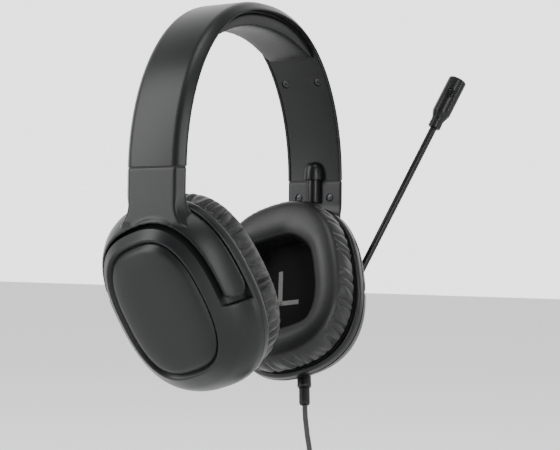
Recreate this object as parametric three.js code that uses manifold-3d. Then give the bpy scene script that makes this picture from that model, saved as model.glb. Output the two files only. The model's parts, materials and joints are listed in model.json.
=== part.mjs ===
import * as THREE from 'three';
import { mergeVertices } from 'three/addons/utils/BufferGeometryUtils.js';
import Module from 'manifold-3d';

const wasm = await Module();
wasm.setup();

const radians = THREE.MathUtils.degToRad;

// ---------------------------------------------------------------------------
// Driving dimensions, in millimetres and degrees
// The origin is the middle of the crown pad's underside, where the headset rests on a head.
// +Z is up, the wearer faces -Y, and the wearer's left is +X.
// ---------------------------------------------------------------------------

const GAP = 0.3;              // free space left between neighbouring pieces
const SEAM_Z = -75.2;         // where the headband ends and the yoke necks begin
const SEAM_GAP = 0.5;

const BAND_HALF_SPAN = 77.8;  // centre plane to the outer face, at the seam
const BAND_RISE = 89;         // seam to the top of the outer face
const BAND_SHOULDER = 2.31;   // superellipse exponents of the arch
const BAND_CROWN = 1.97;
const BAND_OUTER_WIDTH = 27.6;// flat outer face
const BAND_WIDTH = 35.4;      // over the bevels
const BAND_BEVEL = 3.9;
const BAND_THICKNESS = 4.7;
const WALL = 1.05;            // moulded wall of the headband and the yokes
const LIP = 1.5;              // rim of the shell that frames the inner cover
const COVER = 0.9;            // thickness of the inner covers

const PAD_DROP = 9.1;         // crown pad's thickness at the middle of the band
const PAD_END_ANGLE = 52.5;    // arch parameter where the crown pad ends

const CUP_CENTRE = { x: 51.9, y: -1.3, z: SEAM_Z - 62.5 };
const CUP_TOE_IN = 20.6;       // the cups lean, so that their lower ends are closer together
const CUP_HALF_WIDTH = 41.8;  // at the parting plane
const CUP_HALF_HEIGHT = 49.5;
const CUP_ROUNDNESS = 2.44;   // superellipse exponent of the outline
const CUP_LEAN = 18.8;        // the oval leans, so that its lower end is further forward

const PIVOT = { h: 7.6, v: 9.8 };    // hinge of a cup in its fork, in cup coordinates
const ARM_DEPTH = 3;          // thickness of the fork arms
const ARM_CLEARANCE = 0.8;
const ARM_EDGE = { inboard: 2.3, outboard: 12.8, low: 4.6, corner: 5.2 };
const SLOT_ROOM = 2.9;        // free space below each arm, in its slot
const RING_WALL = 9.7;        // inset of the wall that the fork arch runs along
const RING_GAP = 1.8;         // visible gap between that wall and the arch
const STRIP = { half: 7, x: 74.2, thickness: 0.5, above: 20, below: 13.2, pitch: 2.5 };

const CUSHION = { base: -6.6, face: -23.6, inset: 1.8, mouth: 21 };
const DRIVER = { flange: 20, basket: 15, magnet: 9.5 };

const HUB = { u: -13.2, v: -9, radius: 9.2, base: 21.4, top: 27.8, rod: 24.7 };
const BOOM_ANGLE = 18.6;      // forward of the cup's upward direction
const BOOM_LENGTH = 157;      // hub centre to the microphone's tip
const BOOM_RADIUS = 2;
const MIC = { radius: 5.25, length: 22, collar: 3.6, taper: 5, collarLength: 5 };

const WHEEL = { radius: 9, thickness: 3.6, h: 8.4, v: -17, out: 2.1 };

const CORD_RADIUS = 1.4;
const OUTLET_U = -12.7;       // where the strain relief leaves the cup's lower edge
const OUTLET_H = 6;
const OUTLET_LEAN = 13.7;     // how far it leans forward

// The cord hangs from the left cup, is wound into a tied coil, and ends in its plug.
const LEAD = [
  [36.0, -17.7, -197.0], [35.1, -18.4, -199.5], [34.4, -19.0, -202.2], [34.0, -19.6, -205.2],
  [33.8, -20.2, -208.4], [33.6, -20.8, -211.6], [33.5, -21.5, -214.8], [33.5, -22.1, -218.0],
  [33.5, -22.7, -221.0], [33.5, -23.2, -223.8], [33.5, -23.6, -226.4],
];
const COIL = { x: 37.9, y: -21.95, z: -257, radius: 16.8, radial: 15.4, axial: 11.9 };
const COIL_EDGE = { x: 4.4, radius: 23.1 };   // the outer turns, where the cord joins and leaves
const MERGE_ANGLE = 110;
const MERGE_BEND = 9.5;
const TAIL = 24;              // from the coil to the plug
const TIE = { angle: 135, length: 7, wall: 0.9, room: 1.0 };
const PLUG = { neck: 2.3, radius: 3.6, length: 24, pin: 1.75, pinLength: 14 };

// ---------------------------------------------------------------------------
// Materials
// ---------------------------------------------------------------------------

const materialOf = (color, roughness, metalness = 0) =>
  new THREE.MeshStandardMaterial({ color, roughness, metalness });

const BLACK_ABS = () => materialOf(0x1d1f1f, 0.42);
const DARK_ABS = () => materialOf(0x191a1b, 0.5);
const GLOSS_ABS = () => materialOf(0x17191a, 0.3);
const LEATHERETTE = () => materialOf(0x1a1b1b, 0.48);
const CLOTH = () => materialOf(0x0c0c0d, 0.95);
const STEEL = () => materialOf(0x8f9294, 0.35, 1);
const BLACK_SCREW = () => materialOf(0x1b1c1d, 0.38, 0.8);
const RUBBER = () => materialOf(0x161717, 0.7);
const BRAID = () => materialOf(0x1a1a1b, 0.85);
const BOARD = () => materialOf(0x1c4a2c, 0.6);
const GOLD = () => materialOf(0xc9a24a, 0.28, 1);

// ---------------------------------------------------------------------------
// Solids: closed skins, and joins and cuts
// ---------------------------------------------------------------------------

function signedVolume(points, faces) {
  return faces.reduce((sum, [a, b, c]) =>
    sum + points[a].dot(new THREE.Vector3().crossVectors(points[b], points[c])) / 6, 0);
}

// A closed geometry from points and triangles, turned so that its faces point out.
function closedGeometry(points, faces) {
  const outward = signedVolume(points, faces) > 0;
  const index = faces.flatMap(([a, b, c]) => (outward ? [a, b, c] : [a, c, b]));
  const geometry = new THREE.BufferGeometry().setFromPoints(points);
  geometry.setIndex(index);
  return geometry;
}

// A section carried through a row of rings, with a flat cap on each end.
function skin(rings, section) {
  const count = rings[0].length;
  const points = rings.flat();
  const faces = [];
  for (let ring = 0; ring < rings.length - 1; ring += 1) {
    for (let k = 0; k < count; k += 1) {
      const a = ring * count + k;
      const b = ring * count + ((k + 1) % count);
      faces.push([a, b, b + count], [a, b + count, a + count]);
    }
  }
  const cap = THREE.ShapeUtils.triangulateShape(section, []);
  const last = (rings.length - 1) * count;
  const area = THREE.ShapeUtils.area(section);
  for (const [a, b, c] of cap) {
    const capArea = THREE.ShapeUtils.area([section[a], section[b], section[c]]);
    const turned = capArea * area > 0;
    const first = turned ? [a, c, b] : [a, b, c];
    faces.push(first, [last + first[0], last + first[2], last + first[1]]);
  }
  return closedGeometry(points, faces);
}

function toSolid(geometry) {
  const bare = geometry.clone();
  bare.deleteAttribute('normal');
  bare.deleteAttribute('uv');
  const merged = mergeVertices(bare, 1e-4);
  return new wasm.Manifold(new wasm.Mesh({
    numProp: 3,
    vertProperties: new Float32Array(merged.attributes.position.array),
    triVerts: new Uint32Array(merged.index.array),
  }));
}

function toGeometry(solid) {
  const mesh = solid.getMesh();
  const geometry = new THREE.BufferGeometry();
  geometry.setAttribute('position', new THREE.BufferAttribute(mesh.vertProperties, 3));
  geometry.setIndex(new THREE.BufferAttribute(mesh.triVerts, 1));
  return geometry;
}

const join = (first, ...others) =>
  toGeometry(others.reduce((sum, other) => sum.add(toSolid(other)), toSolid(first)));
const cut = (first, ...others) =>
  toGeometry(others.reduce((rest, other) => rest.subtract(toSolid(other)), toSolid(first)));
const common = (first, second) => toGeometry(toSolid(first).intersect(toSolid(second)));

function box(x0, x1, y0, y1, z0, z1) {
  return new THREE.BoxGeometry(x1 - x0, y1 - y0, z1 - z0)
    .translate((x0 + x1) / 2, (y0 + y1) / 2, (z0 + z1) / 2);
}

// A cylinder from one height to another along an axis through a point.
function rod(radius, from, to, direction, origin = new THREE.Vector3(), sides = 16) {
  const geometry = new THREE.CylinderGeometry(radius, radius, to - from, sides);
  geometry.translate(0, (from + to) / 2, 0);
  return aimed(geometry, direction, origin);
}

// Turns a piece made along +Y to point along a direction, and moves it to a point.
function aimed(geometry, direction, origin) {
  const turn = new THREE.Quaternion().setFromUnitVectors(
    new THREE.Vector3(0, 1, 0), direction.clone().normalize());
  return geometry.applyQuaternion(turn).translate(origin.x, origin.y, origin.z);
}

// A turned piece: its profile is a list of [radius, height] that starts and ends on the axis.
function turned(profile, sides = 16) {
  const lathe = new THREE.LatheGeometry(profile.map(([r, y]) => new THREE.Vector2(r, y)), sides);
  return reoriented(lathe);
}

// ---------------------------------------------------------------------------
// The headband's arch
// ---------------------------------------------------------------------------

function archPoint(angle) {
  const c = Math.cos(angle);
  const s = Math.max(Math.sin(angle), 0);
  return new THREE.Vector2(
    BAND_HALF_SPAN * Math.sign(c) * Math.abs(c) ** (2 / BAND_SHOULDER),
    SEAM_Z + BAND_RISE * s ** (2 / BAND_CROWN));
}

// The outer face's point at an arch angle, with the direction that points out of the band.
function archFrame(angle) {
  const step = 0.004;
  const low = Math.max(angle - step, 0);
  const high = Math.min(angle + step, Math.PI);
  const tangent = archPoint(high).sub(archPoint(low)).normalize();
  return { point: archPoint(angle), out: new THREE.Vector2(tangent.y, -tangent.x) };
}

function onArch(angle, y, depth) {
  const { point, out } = archFrame(angle);
  return new THREE.Vector3(point.x - out.x * depth, y, point.y - out.y * depth);
}

// A section of [y, depth] points carried along the arch. It may change with the angle.
function archSweep(sectionAt, from, to, steps) {
  const angles = Array.from({ length: steps + 1 }, (_, k) => from + (to - from) * k / steps);
  const rings = angles.map((angle) =>
    sectionAt(angle).map(([y, depth]) => onArch(angle, y, depth)));
  const section = sectionAt((from + to) / 2).map(([y, depth]) => new THREE.Vector2(y, depth));
  return skin(rings, section);
}

// The angle at which the arch is a given height above the seam.
function archAngleAt(height) {
  return Math.asin((height / BAND_RISE) ** (BAND_CROWN / 2));
}

// The moulded channel that the headband and the yoke necks share.
function channelSection(grow = 0) {
  const outer = BAND_OUTER_WIDTH / 2;
  const half = BAND_WIDTH / 2;
  const inner = half - LIP;
  const right = [
    [outer, -grow], [half + grow, BAND_BEVEL], [half + grow, BAND_THICKNESS + grow],
    [inner, BAND_THICKNESS + grow], [inner, BAND_BEVEL - 0.4], [outer - 0.6, WALL],
  ];
  return [...right, ...right.map(([y, depth]) => [-y, depth]).reverse()];
}

const rectangle = (half, from, to) => [[-half, from], [half, from], [half, to], [-half, to]];

const COVER_HALF = BAND_WIDTH / 2 - LIP - GAP;
const COVER_FROM = BAND_THICKNESS - COVER - 0.1;
const COVER_TO = BAND_THICKNESS - 0.1;
const BAND_SCREW_HEIGHT = 56.5;
const BAND_SCREW_Y = 10.5;
const YOKE_SCREW_Y = 10.2;
const YOKE_SCREW_DROP = 9.6;
const HEAD = { radius: 2.1, height: 0.7, shank: 0.95, length: 2.2, seat: 2.5 };

// A small countersunk screw with a cross recess, made along +Y with its head's face at zero.
function screw() {
  const body = turned([
    [0, -HEAD.length], [HEAD.shank, -HEAD.length], [HEAD.shank, -HEAD.height],
    [HEAD.radius, -HEAD.height], [HEAD.radius, 0], [0, 0],
  ], 10);
  const slot = box(-1.2, 1.2, -0.45, 0.1, -0.22, 0.22);
  const crossSlot = box(-0.22, 0.22, -0.45, 0.1, -1.2, 1.2);
  return cut(body, join(slot, crossSlot));
}

// The hole for such a screw through an inner cover: a seat for the head, and a way through.
function screwSeat() {
  return join(
    rod(HEAD.seat, -0.45 - HEAD.height, 1, new THREE.Vector3(0, 1, 0), undefined, 12),
    rod(HEAD.shank + GAP, -4, 0, new THREE.Vector3(0, 1, 0), undefined, 8));
}

function inwardOnArch(angle) {
  const { out } = archFrame(angle);
  return new THREE.Vector3(-out.x, 0, -out.y);
}

const bandScrewPlaces = [];
for (const [side, sideName] of [[1, 'left'], [-1, 'right']]) {
  for (const [y, endName] of [[-BAND_SCREW_Y, 'front'], [BAND_SCREW_Y, 'rear']]) {
    const angle = archAngleAt(BAND_SCREW_HEIGHT);
    const place = side > 0 ? angle : Math.PI - angle;
    bandScrewPlaces.push({
      name: `headband_screw_${sideName}_${endName}`,
      origin: onArch(place, y, COVER_TO - 0.15),
      direction: inwardOnArch(place),
    });
  }
}

// A pillar inside the moulding that takes a screw. It stops short of the inner cover.
function boss(place) {
  return rod(2, WALL - 0.1 - COVER_TO, -COVER - 0.25, place.direction, place.origin, 8);
}

const ARCH_STEPS = 28;

function headbandShell() {
  const start = Math.asin(SEAM_GAP / 2 / BAND_RISE);
  const channel = archSweep(() => channelSection(), start, Math.PI - start, ARCH_STEPS);
  const bosses = bandScrewPlaces.map(boss);
  const bores = bandScrewPlaces.map((place) =>
    rod(HEAD.shank + 0.25, -HEAD.length - 0.4, 1, place.direction, place.origin, 8));
  return cut(join(channel, ...bosses), ...bores);
}

function headbandInnerCover() {
  const start = archAngleAt(0.6);
  const cover = archSweep(() => rectangle(COVER_HALF, COVER_FROM, COVER_TO),
    start, Math.PI - start, ARCH_STEPS);
  const seats = bandScrewPlaces.map((place) =>
    aimed(screwSeat(), place.direction, place.origin));
  return cut(cover, ...seats);
}

function springBand() {
  const end = archAngleAt(24);
  return archSweep(() => rectangle(6, 1.75, 2.35), end, Math.PI - end, 16);
}

// The crown pad thins towards both ends. Its section has rounded lower corners.
function crownPadSection(angle) {
  const end = radians(PAD_END_ANGLE);
  const reach = Math.abs(angle - Math.PI / 2) / (Math.PI / 2 - end);
  const swell = Math.max(1 - reach ** 2.1, 0.05) ** 0.72;
  const top = BAND_THICKNESS + 1.4;
  const bottom = top + 1.2 + (PAD_DROP - 2.8) * swell;
  const half = 14.6;
  const round = (bottom - top) * 0.45;
  const right = [[half, top], [half, bottom - round], [half - round, bottom]];
  return [...right, ...right.map(([y, depth]) => [-y, depth]).reverse()];
}

function crownPad() {
  const end = radians(PAD_END_ANGLE);
  return archSweep(crownPadSection, end, Math.PI - end, 18);
}

function crownPadBoard() {
  const end = radians(PAD_END_ANGLE - 0.5);
  return archSweep(() => rectangle(14, BAND_THICKNESS + 0.2, BAND_THICKNESS + 1.1),
    end, Math.PI - end, 18);
}

// ---------------------------------------------------------------------------
// The cups: an outline, and lofts through it
// Cup coordinates: h outward along the cup's axis, u to the rear, v up in the cup's plane.
// ---------------------------------------------------------------------------

function outlinePoint(angle) {
  const c = Math.cos(angle);
  const s = Math.sin(angle);
  const power = 2 / CUP_ROUNDNESS;
  const upright = new THREE.Vector2(
    CUP_HALF_WIDTH * Math.sign(c) * Math.abs(c) ** power,
    CUP_HALF_HEIGHT * Math.sign(s) * Math.abs(s) ** power);
  return upright.rotateAround(new THREE.Vector2(), -radians(CUP_LEAN));
}

function insetPoint(angle, inset) {
  const step = 0.02;
  const tangent = outlinePoint(angle + step).sub(outlinePoint(angle - step)).normalize();
  return outlinePoint(angle).add(new THREE.Vector2(-tangent.y, tangent.x).multiplyScalar(inset));
}

const OUTLINE_SIDES = 28;

function outline(inset, sides = OUTLINE_SIDES) {
  return Array.from({ length: sides }, (_, k) => insetPoint(2 * Math.PI * (k + 0.5) / sides, inset));
}

// A loft through outlines: each stop is [h, inset].
function cupLoft(stops, side, sides = OUTLINE_SIDES) {
  const rings = stops.map(([h, inset]) =>
    outline(inset, sides).map((p) => new THREE.Vector3(side * h, p.x, p.y)));
  return skin(rings, outline(stops[0][1], sides));
}

// How far the housing's side wall has drawn in at a distance from the parting plane.
const SIDE_WALL = [[0.3, 0.2], [4, 1.2], [8, 3.3], [11, 5.4], [13, 7.2], [15.2, RING_WALL]];

function sideInset(h) {
  const next = SIDE_WALL.findIndex(([stop]) => stop >= h);
  if (next <= 0) return SIDE_WALL[0][1];
  const [h0, inset0] = SIDE_WALL[next - 1];
  const [h1, inset1] = SIDE_WALL[next];
  return inset0 + (inset1 - inset0) * (h - h0) / (h1 - h0);
}

const RING_TOP = [18.6, 14.1];       // the ring's bevel ends here, at the groove
const GROOVE = { inset: 14.5, floor: 16.8 };
const CAP = { inset: 15.4, base: 17.1, top: 20.9 };

// The outline of a fork arm seen along its hinge, as points of (h, v), or of the slot around it.
function armShape(slot) {
  const low = ARM_EDGE.low - (slot ? SLOT_ROOM : 0);
  const inboard = ARM_EDGE.inboard - (slot ? ARM_CLEARANCE : 0);
  const outboard = slot ? SIDE_WALL.at(-1)[0] + 0.4 : ARM_EDGE.outboard;
  const corner = ARM_EDGE.corner;
  const chamfer = slot ? 0 : 1.8;
  const high = 80;
  const shape = new THREE.Shape();
  shape.moveTo(outboard, high);
  shape.lineTo(outboard, low + chamfer);
  if (!slot) shape.lineTo(outboard - chamfer, low);
  shape.lineTo(inboard + corner, low);
  shape.absarc(inboard + corner, low + corner, corner, -Math.PI / 2, -Math.PI, true);
  shape.lineTo(inboard, high);
  return shape;
}

// The arm shape pushed through both sides of the cup, along the hinge.
function armPrism(side, slot) {
  const prism = new THREE.ExtrudeGeometry(armShape(slot),
    { depth: 140, bevelEnabled: false, curveSegments: 5 });
  const turn = new THREE.Matrix4().makeBasis(
    new THREE.Vector3(side, 0, 0), new THREE.Vector3(0, 0, 1), new THREE.Vector3(0, 1, 0));
  prism.applyMatrix4(turn).translate(0, -70, 0);
  return reoriented(prism);
}

// The same closed geometry with its faces turned out, after a mirroring.
function reoriented(geometry) {
  const bare = geometry.clone();
  bare.deleteAttribute('normal');
  bare.deleteAttribute('uv');
  const merged = mergeVertices(bare, 1e-4);
  const p = merged.attributes.position;
  const points = Array.from({ length: p.count }, (_, k) =>
    new THREE.Vector3().fromBufferAttribute(p, k));
  const faces = [];
  for (let k = 0; k < merged.index.count; k += 3) {
    faces.push([merged.index.getX(k), merged.index.getX(k + 1), merged.index.getX(k + 2)]);
  }
  return closedGeometry(points, faces);
}

// Inset of an arm's inner face, or with a clearance, of the floor of its slot.
const armInner = (h, clearance) => Math.min(sideInset(h) + ARM_DEPTH + clearance,
  clearance ? RING_WALL : RING_WALL - RING_GAP);
const ARM_STOPS = [4, 8, 11, ARM_EDGE.outboard];

function armCore(side, clearance) {
  const stops = ARM_STOPS.map((h) => [h, armInner(h, clearance)]);
  return cupLoft([[-9, stops[0][1]], ...stops, [30, armInner(SIDE_WALL.at(-1)[0], clearance)]], side);
}

function forkArch(side) {
  const { inboard, outboard } = ARM_EDGE;
  const outer = [inboard, 4, 8, 11, outboard].map((h) => [h, sideInset(h)]);
  const ring = cut(cupLoft(outer, side), armCore(side, 0));
  return common(ring, armPrism(side, false));
}

function armRecess(side) {
  const around = cut(cupLoft([[1, -4], [30, -4]], side), armCore(side, ARM_CLEARANCE + 0.1));
  return common(around, armPrism(side, true));
}

function pivotRod(radius, side, from, to, end) {
  return rod(radius, from, to, new THREE.Vector3(0, end, 0),
    new THREE.Vector3(side * PIVOT.h, 0, PIVOT.v), 12);
}

// The outline's point at a height in the cup, on its front (-1) or rear (+1) edge.
function edgePoint(v, inset, end) {
  const near = (best, p) => (Math.abs(p.y - v) < Math.abs(best.y - v) ? p : best);
  return outline(inset, 720).filter((p) => p.x * end > 0).reduce(near);
}

// How far the outside of a fork arm stands from the cup's axis, at the hinge.
const ARM_REACH = {
  '-1': -edgePoint(PIVOT.v, sideInset(PIVOT.h), -1).x,
  1: edgePoint(PIVOT.v, sideInset(PIVOT.h), 1).x,
};

function cupHousing(side) {
  const shell = cupLoft([...SIDE_WALL, RING_TOP], side);
  const capSeat = cupLoft([[GROOVE.floor, GROOVE.inset], [24, GROOVE.inset]], side);
  const upperRoom = cupLoft([[-1, 2.2], [0.5, 2.2], [0.8, 6], [8, 8.6], [15.5, 12.4]], side);
  const lowerRoom = cupLoft([[-1, 2.3], [8, 5.5], [15.4, 12.4]], side);
  const lowerHalf = box(-40, 40, -70, 70, -70, -4);
  const pinHoles = [1, -1].map((end) => pivotRod(1.75, side, 20, 60, end));
  return cut(shell, capSeat, upperRoom, common(lowerRoom, lowerHalf), armRecess(side), ...pinHoles);
}

function capSolid(side) {
  const { base, inset, top } = CAP;
  return cupLoft([[base, inset], [top - 2, inset], [top - 0.9, inset + 1.3],
    [top - 0.3, inset + 6], [top, inset + 14]], side);
}

const outward = (side) => new THREE.Vector3(side, 0, 0);

function cupCap(side) {
  const cap = capSolid(side);
  if (side < 0) return cap;
  const seat = rod(HUB.radius + 0.9, 18, HUB.base - GAP, outward(side), hubAt(0), 24);
  const hole = rod(3.3, 10, 40, outward(side), hubAt(0));
  return cut(join(cap, seat), hole);
}

function bezel(side) {
  const plate = cupLoft([[-0.1, 0.3], [-3.9, 0.3], [-5.4, 1.3]], side);
  const well = cupLoft([[0.5, 4.6], [-2.1, 4.6]], side);
  const mouth = rod(17, -8, 2, outward(side), undefined, 24);
  return cut(plate, well, mouth);
}

// The ear cushion: a fat ring with rounded shoulders, a flat face and an open middle.
function earCushion(side) {
  const { base, face, inset, mouth } = CUSHION;
  const outer = cupLoft([[base, inset + 1], [base - 2, inset], [face + 7, inset],
    [face + 2.6, inset + 1.6], [face + 0.6, inset + 4.6], [face, inset + 7.6]], side);
  const opening = cupLoft([[base + 1, mouth + 0.6], [face + 5, mouth - 0.6],
    [face - 0.1, mouth - 4.4], [face - 2, mouth - 5]], side);
  return cut(outer, opening);
}

function mountingRing(side) {
  const ring = cupLoft([[-5.7, 2.4], [-6.3, 2.4]], side);
  return cut(ring, cupLoft([[-4, 16.5], [-8, 16.5]], side));
}

function speakerCloth(side) {
  return cupLoft([[-6.6, 22.8], [-7.2, 22.8]], side, 32);
}

function driverFrame(side) {
  const { flange, basket, magnet } = DRIVER;
  const body = turned([[0, 5.2], [magnet + 0.8, 5.2], [basket, 2.4], [basket + 1.6, -0.9],
    [flange, -0.9], [flange, -1.9], [basket + 2.2, -1.9], [basket + 0.4, -1.2], [0, -1.2]]);
  return aimed(body, outward(side), new THREE.Vector3());
}

function driverMagnet(side) {
  return rod(DRIVER.magnet, 5.5, 9.6, outward(side), undefined, 24);
}

function pivotPin(side, end) {
  const along = new THREE.Vector3(0, end, 0);
  const centre = new THREE.Vector3(side * PIVOT.h, 0, PIVOT.v);
  const reach = ARM_REACH[end];
  const shaft = rod(1.4, reach - 9, reach - 1.4, along, centre, 14);
  const head = rod(2.7, reach - 9.9, reach - 8.6, along, centre, 14);
  return join(shaft, head);
}

// ---------------------------------------------------------------------------
// The yokes: a neck that continues the headband, and a fork that holds the cup
// ---------------------------------------------------------------------------

const CUP_TILT = radians(CUP_TOE_IN);

// Moves a piece from cup coordinates to the headset's own.
function placedAtCup(geometry, side) {
  return geometry.clone().rotateY(side * CUP_TILT)
    .translate(side * CUP_CENTRE.x, CUP_CENTRE.y, CUP_CENTRE.z);
}

// A straight length of a band section, between two distances below the seam.
function neckSweep(section, side, from, to) {
  const rings = [from, to].map((drop) => section.map(([y, depth]) =>
    new THREE.Vector3(side * (BAND_HALF_SPAN - depth), y, SEAM_Z - drop)));
  return skin(rings, section.map(([y, depth]) => new THREE.Vector2(y, depth)));
}

// The solid lower part of a neck, which runs down onto the fork's arch.
function neckFoot(side) {
  const section = channelSection().slice(0, 3);
  return neckSweep([...section, ...section.map(([y, depth]) => [-y, depth]).reverse()],
    side, NECK_END, NECK_FOOT);
}

// Concave fillets beside the neck: the fork's arch grown outward, inside a flared outline.
function neckFillets(side) {
  const half = BAND_WIDTH / 2;
  const shape = new THREE.Shape();
  shape.moveTo(-half, -15);
  shape.lineTo(half, -15);
  shape.quadraticCurveTo(half, -20, half + 4, -22);
  shape.lineTo(half + 4, -NECK_FOOT);
  shape.lineTo(-half - 9, -NECK_FOOT);
  shape.lineTo(-half - 9, -29);
  shape.quadraticCurveTo(-half, -24, -half, -15);
  const plate = new THREE.ExtrudeGeometry(shape, { depth: 30, bevelEnabled: false, curveSegments: 6 });
  plate.applyMatrix4(new THREE.Matrix4().makeBasis(
    new THREE.Vector3(0, 1, 0), new THREE.Vector3(0, 0, 1), new THREE.Vector3(side, 0, 0)));
  plate.translate(side * (BAND_HALF_SPAN - 20), 0, SEAM_Z);
  const { inboard, outboard } = ARM_EDGE;
  const grown = cupLoft([inboard, 4, 8, 11, outboard].map((h) => [h, sideInset(h) - 3.5]), side);
  return common(reoriented(plate), placedAtCup(grown, side));
}

const yokeScrewPlaces = (side) => [-YOKE_SCREW_Y, YOKE_SCREW_Y].map((y) => ({
  origin: new THREE.Vector3(
    side * (BAND_HALF_SPAN - COVER_TO + 0.15), y, SEAM_Z - YOKE_SCREW_DROP),
  direction: new THREE.Vector3(-side, 0, 0),
}));

const NECK_END = 13.4;
const NECK_FOOT = 36;

function yokeCover(side) {
  const channel = neckSweep(channelSection(), side, SEAM_GAP / 2, NECK_END + 0.4);
  const arch = placedAtCup(forkArch(side), side);
  const bosses = yokeScrewPlaces(side).map(boss);
  const bores = yokeScrewPlaces(side).map((place) =>
    rod(HEAD.shank + 0.25, -HEAD.length - 0.4, 1, place.direction, place.origin, 8));
  const pinBores = [1, -1].map((end) =>
    placedAtCup(pivotRod(1.7, side, 20, ARM_REACH[end] - 1.1, end), side));
  const room = placedAtCup(armCore(side, 0), side);
  const foot = cut(join(neckFoot(side), neckFillets(side)), room);
  return cut(join(channel, foot, arch, ...bosses), ...bores, ...pinBores);
}

function yokeLiner(side) {
  const plate = neckSweep(rectangle(COVER_HALF, COVER_FROM, COVER_TO), side,
    SEAM_GAP / 2, NECK_END - 0.6);
  const seats = yokeScrewPlaces(side).map((place) =>
    aimed(screwSeat(), place.direction, place.origin));
  return cut(plate, ...seats);
}

// The steel strip that the yoke hangs from, with detent notches along both edges.
function sliderStrip(side) {
  const { half, x, thickness, above, below, pitch } = STRIP;
  const shape = new THREE.Shape();
  shape.moveTo(half, -below);
  shape.lineTo(half, 2);
  for (let z = 2; z + pitch <= above - 1; z += pitch) {
    shape.lineTo(half - 0.7, z + pitch * 0.35);
    shape.lineTo(half, z + pitch * 0.7);
    shape.lineTo(half, z + pitch);
  }
  shape.lineTo(half - 1, above);
  shape.lineTo(-half, above);
  shape.lineTo(-half, -below);
  const plate = new THREE.ExtrudeGeometry(shape, { depth: 1, bevelEnabled: false });
  const basis = new THREE.Matrix4().makeBasis(
    new THREE.Vector3(0, 1, 0), new THREE.Vector3(0, 0, 1), new THREE.Vector3(thickness, 0, 0));
  plate.applyMatrix4(basis).translate(x, 0, SEAM_Z);
  if (side < 0) plate.scale(-1, 1, 1);
  return reoriented(plate);
}

// Half-round cable guide on the inside of the neck, and the domed hood it slides into.
const TUBE = { radius: 4.3, bore: 2.7, top: 5.2, bottom: 12.4, x: 72.8 };
const HOOD = { radius: 5.9, room: 4.9, foot: 0.5, shoulder: 4.6 };

function guideTube(side) {
  const up = new THREE.Vector3(0, 0, 1);
  const at = new THREE.Vector3(side * TUBE.x, 0, SEAM_Z);
  const round = rod(TUBE.radius, -TUBE.bottom, TUBE.top, up, at, 20);
  const bore = rod(TUBE.bore, -TUBE.bottom - 1, TUBE.top + 1, up, at, 16);
  const behind = box(TUBE.x, TUBE.x + 10, -10, 10, SEAM_Z - 40, SEAM_Z + 40);
  if (side < 0) behind.scale(-1, 1, 1);
  return cut(round, bore, reoriented(behind));
}

function hood(side) {
  const profile = (radius, foot) => turned([[0, foot], [radius, foot], [radius, HOOD.shoulder],
    [radius * 0.92, HOOD.shoulder + radius * 0.39], [radius * 0.71, HOOD.shoulder + radius * 0.71],
    [radius * 0.38, HOOD.shoulder + radius * 0.92], [0, HOOD.shoulder + radius]], 18);
  const at = new THREE.Vector3(side * TUBE.x, 0, SEAM_Z);
  const up = new THREE.Vector3(0, 0, 1);
  const outer = aimed(profile(HOOD.radius, HOOD.foot), up, at);
  const room = aimed(profile(HOOD.room, -2), up, at);
  const band = archSweep(() => [[-20, -8], [20, -8], [20, BAND_THICKNESS + 0.2],
    [-20, BAND_THICKNESS + 0.2]], 0, Math.PI, ARCH_STEPS);
  return cut(outer, room, band);
}

// ---------------------------------------------------------------------------
// Microphone, on the left cup
// ---------------------------------------------------------------------------

const boomDirection = new THREE.Vector3(
  0, -Math.sin(radians(BOOM_ANGLE)), Math.cos(radians(BOOM_ANGLE)));
const hubAt = (h) => new THREE.Vector3(h, HUB.u, HUB.v);
const MIC_BASE = BOOM_LENGTH - MIC.length - MIC.taper - MIC.collarLength;

function boomHub() {
  const { radius, base, top, rod: rodH } = HUB;
  const disc = aimed(turned([[0, base], [radius - 0.4, base], [radius, base + 0.4],
    [radius, top - 1.2], [radius - 1.4, top], [0, top]], 24), outward(1), hubAt(0));
  const axle = rod(3, CAP.base + 0.5, base + 1, outward(1), hubAt(0));
  const neck = aimed(turned([[0, radius - 3], [3.4, radius - 3], [3.4, radius + 5],
    [2.8, radius + 9], [0, radius + 9]], 12), boomDirection, hubAt(rodH));
  const socket = rod(BOOM_RADIUS + GAP, radius + 3, radius + 20, boomDirection, hubAt(rodH), 12);
  return cut(join(disc, axle, neck), socket);
}

function boomRod() {
  return rod(BOOM_RADIUS, HUB.radius + 3.4, MIC_BASE + 3.4, boomDirection, hubAt(HUB.rod), 12);
}

function micShell() {
  const { radius, length, collar, taper, collarLength } = MIC;
  const front = MIC_BASE + collarLength + taper;
  const body = turned([[0, MIC_BASE], [collar - 0.3, MIC_BASE], [collar, MIC_BASE + 0.4],
    [collar, MIC_BASE + collarLength], [radius, front], [radius, front + length - 0.8],
    [radius - 0.8, front + length], [0, front + length]], 18);
  const room = rod(radius - 1, front + 1, front + length - 1.2, new THREE.Vector3(0, 1, 0));
  const mouth = rod(radius - 1.5, front + length - 2, front + length + 2, new THREE.Vector3(0, 1, 0));
  const socket = rod(BOOM_RADIUS + GAP, MIC_BASE - 2, MIC_BASE + 3.8, new THREE.Vector3(0, 1, 0));
  return aimed(cut(body, room, mouth, socket), boomDirection, hubAt(HUB.rod));
}

function micCapsule() {
  const front = MIC_BASE + MIC.collarLength + MIC.taper + MIC.length;
  return rod(MIC.radius - 1.35, front - 9, front - 1.6, boomDirection, hubAt(HUB.rod));
}

// ---------------------------------------------------------------------------
// Volume wheel, circuit board and cable outlet, in and on the left cup
// ---------------------------------------------------------------------------

const WHEEL_U = edgePoint(WHEEL.v, sideInset(WHEEL.h), 1).x - WHEEL.radius + WHEEL.out;
const wheelAt = (h) => new THREE.Vector3(h, WHEEL_U, WHEEL.v);

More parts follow.
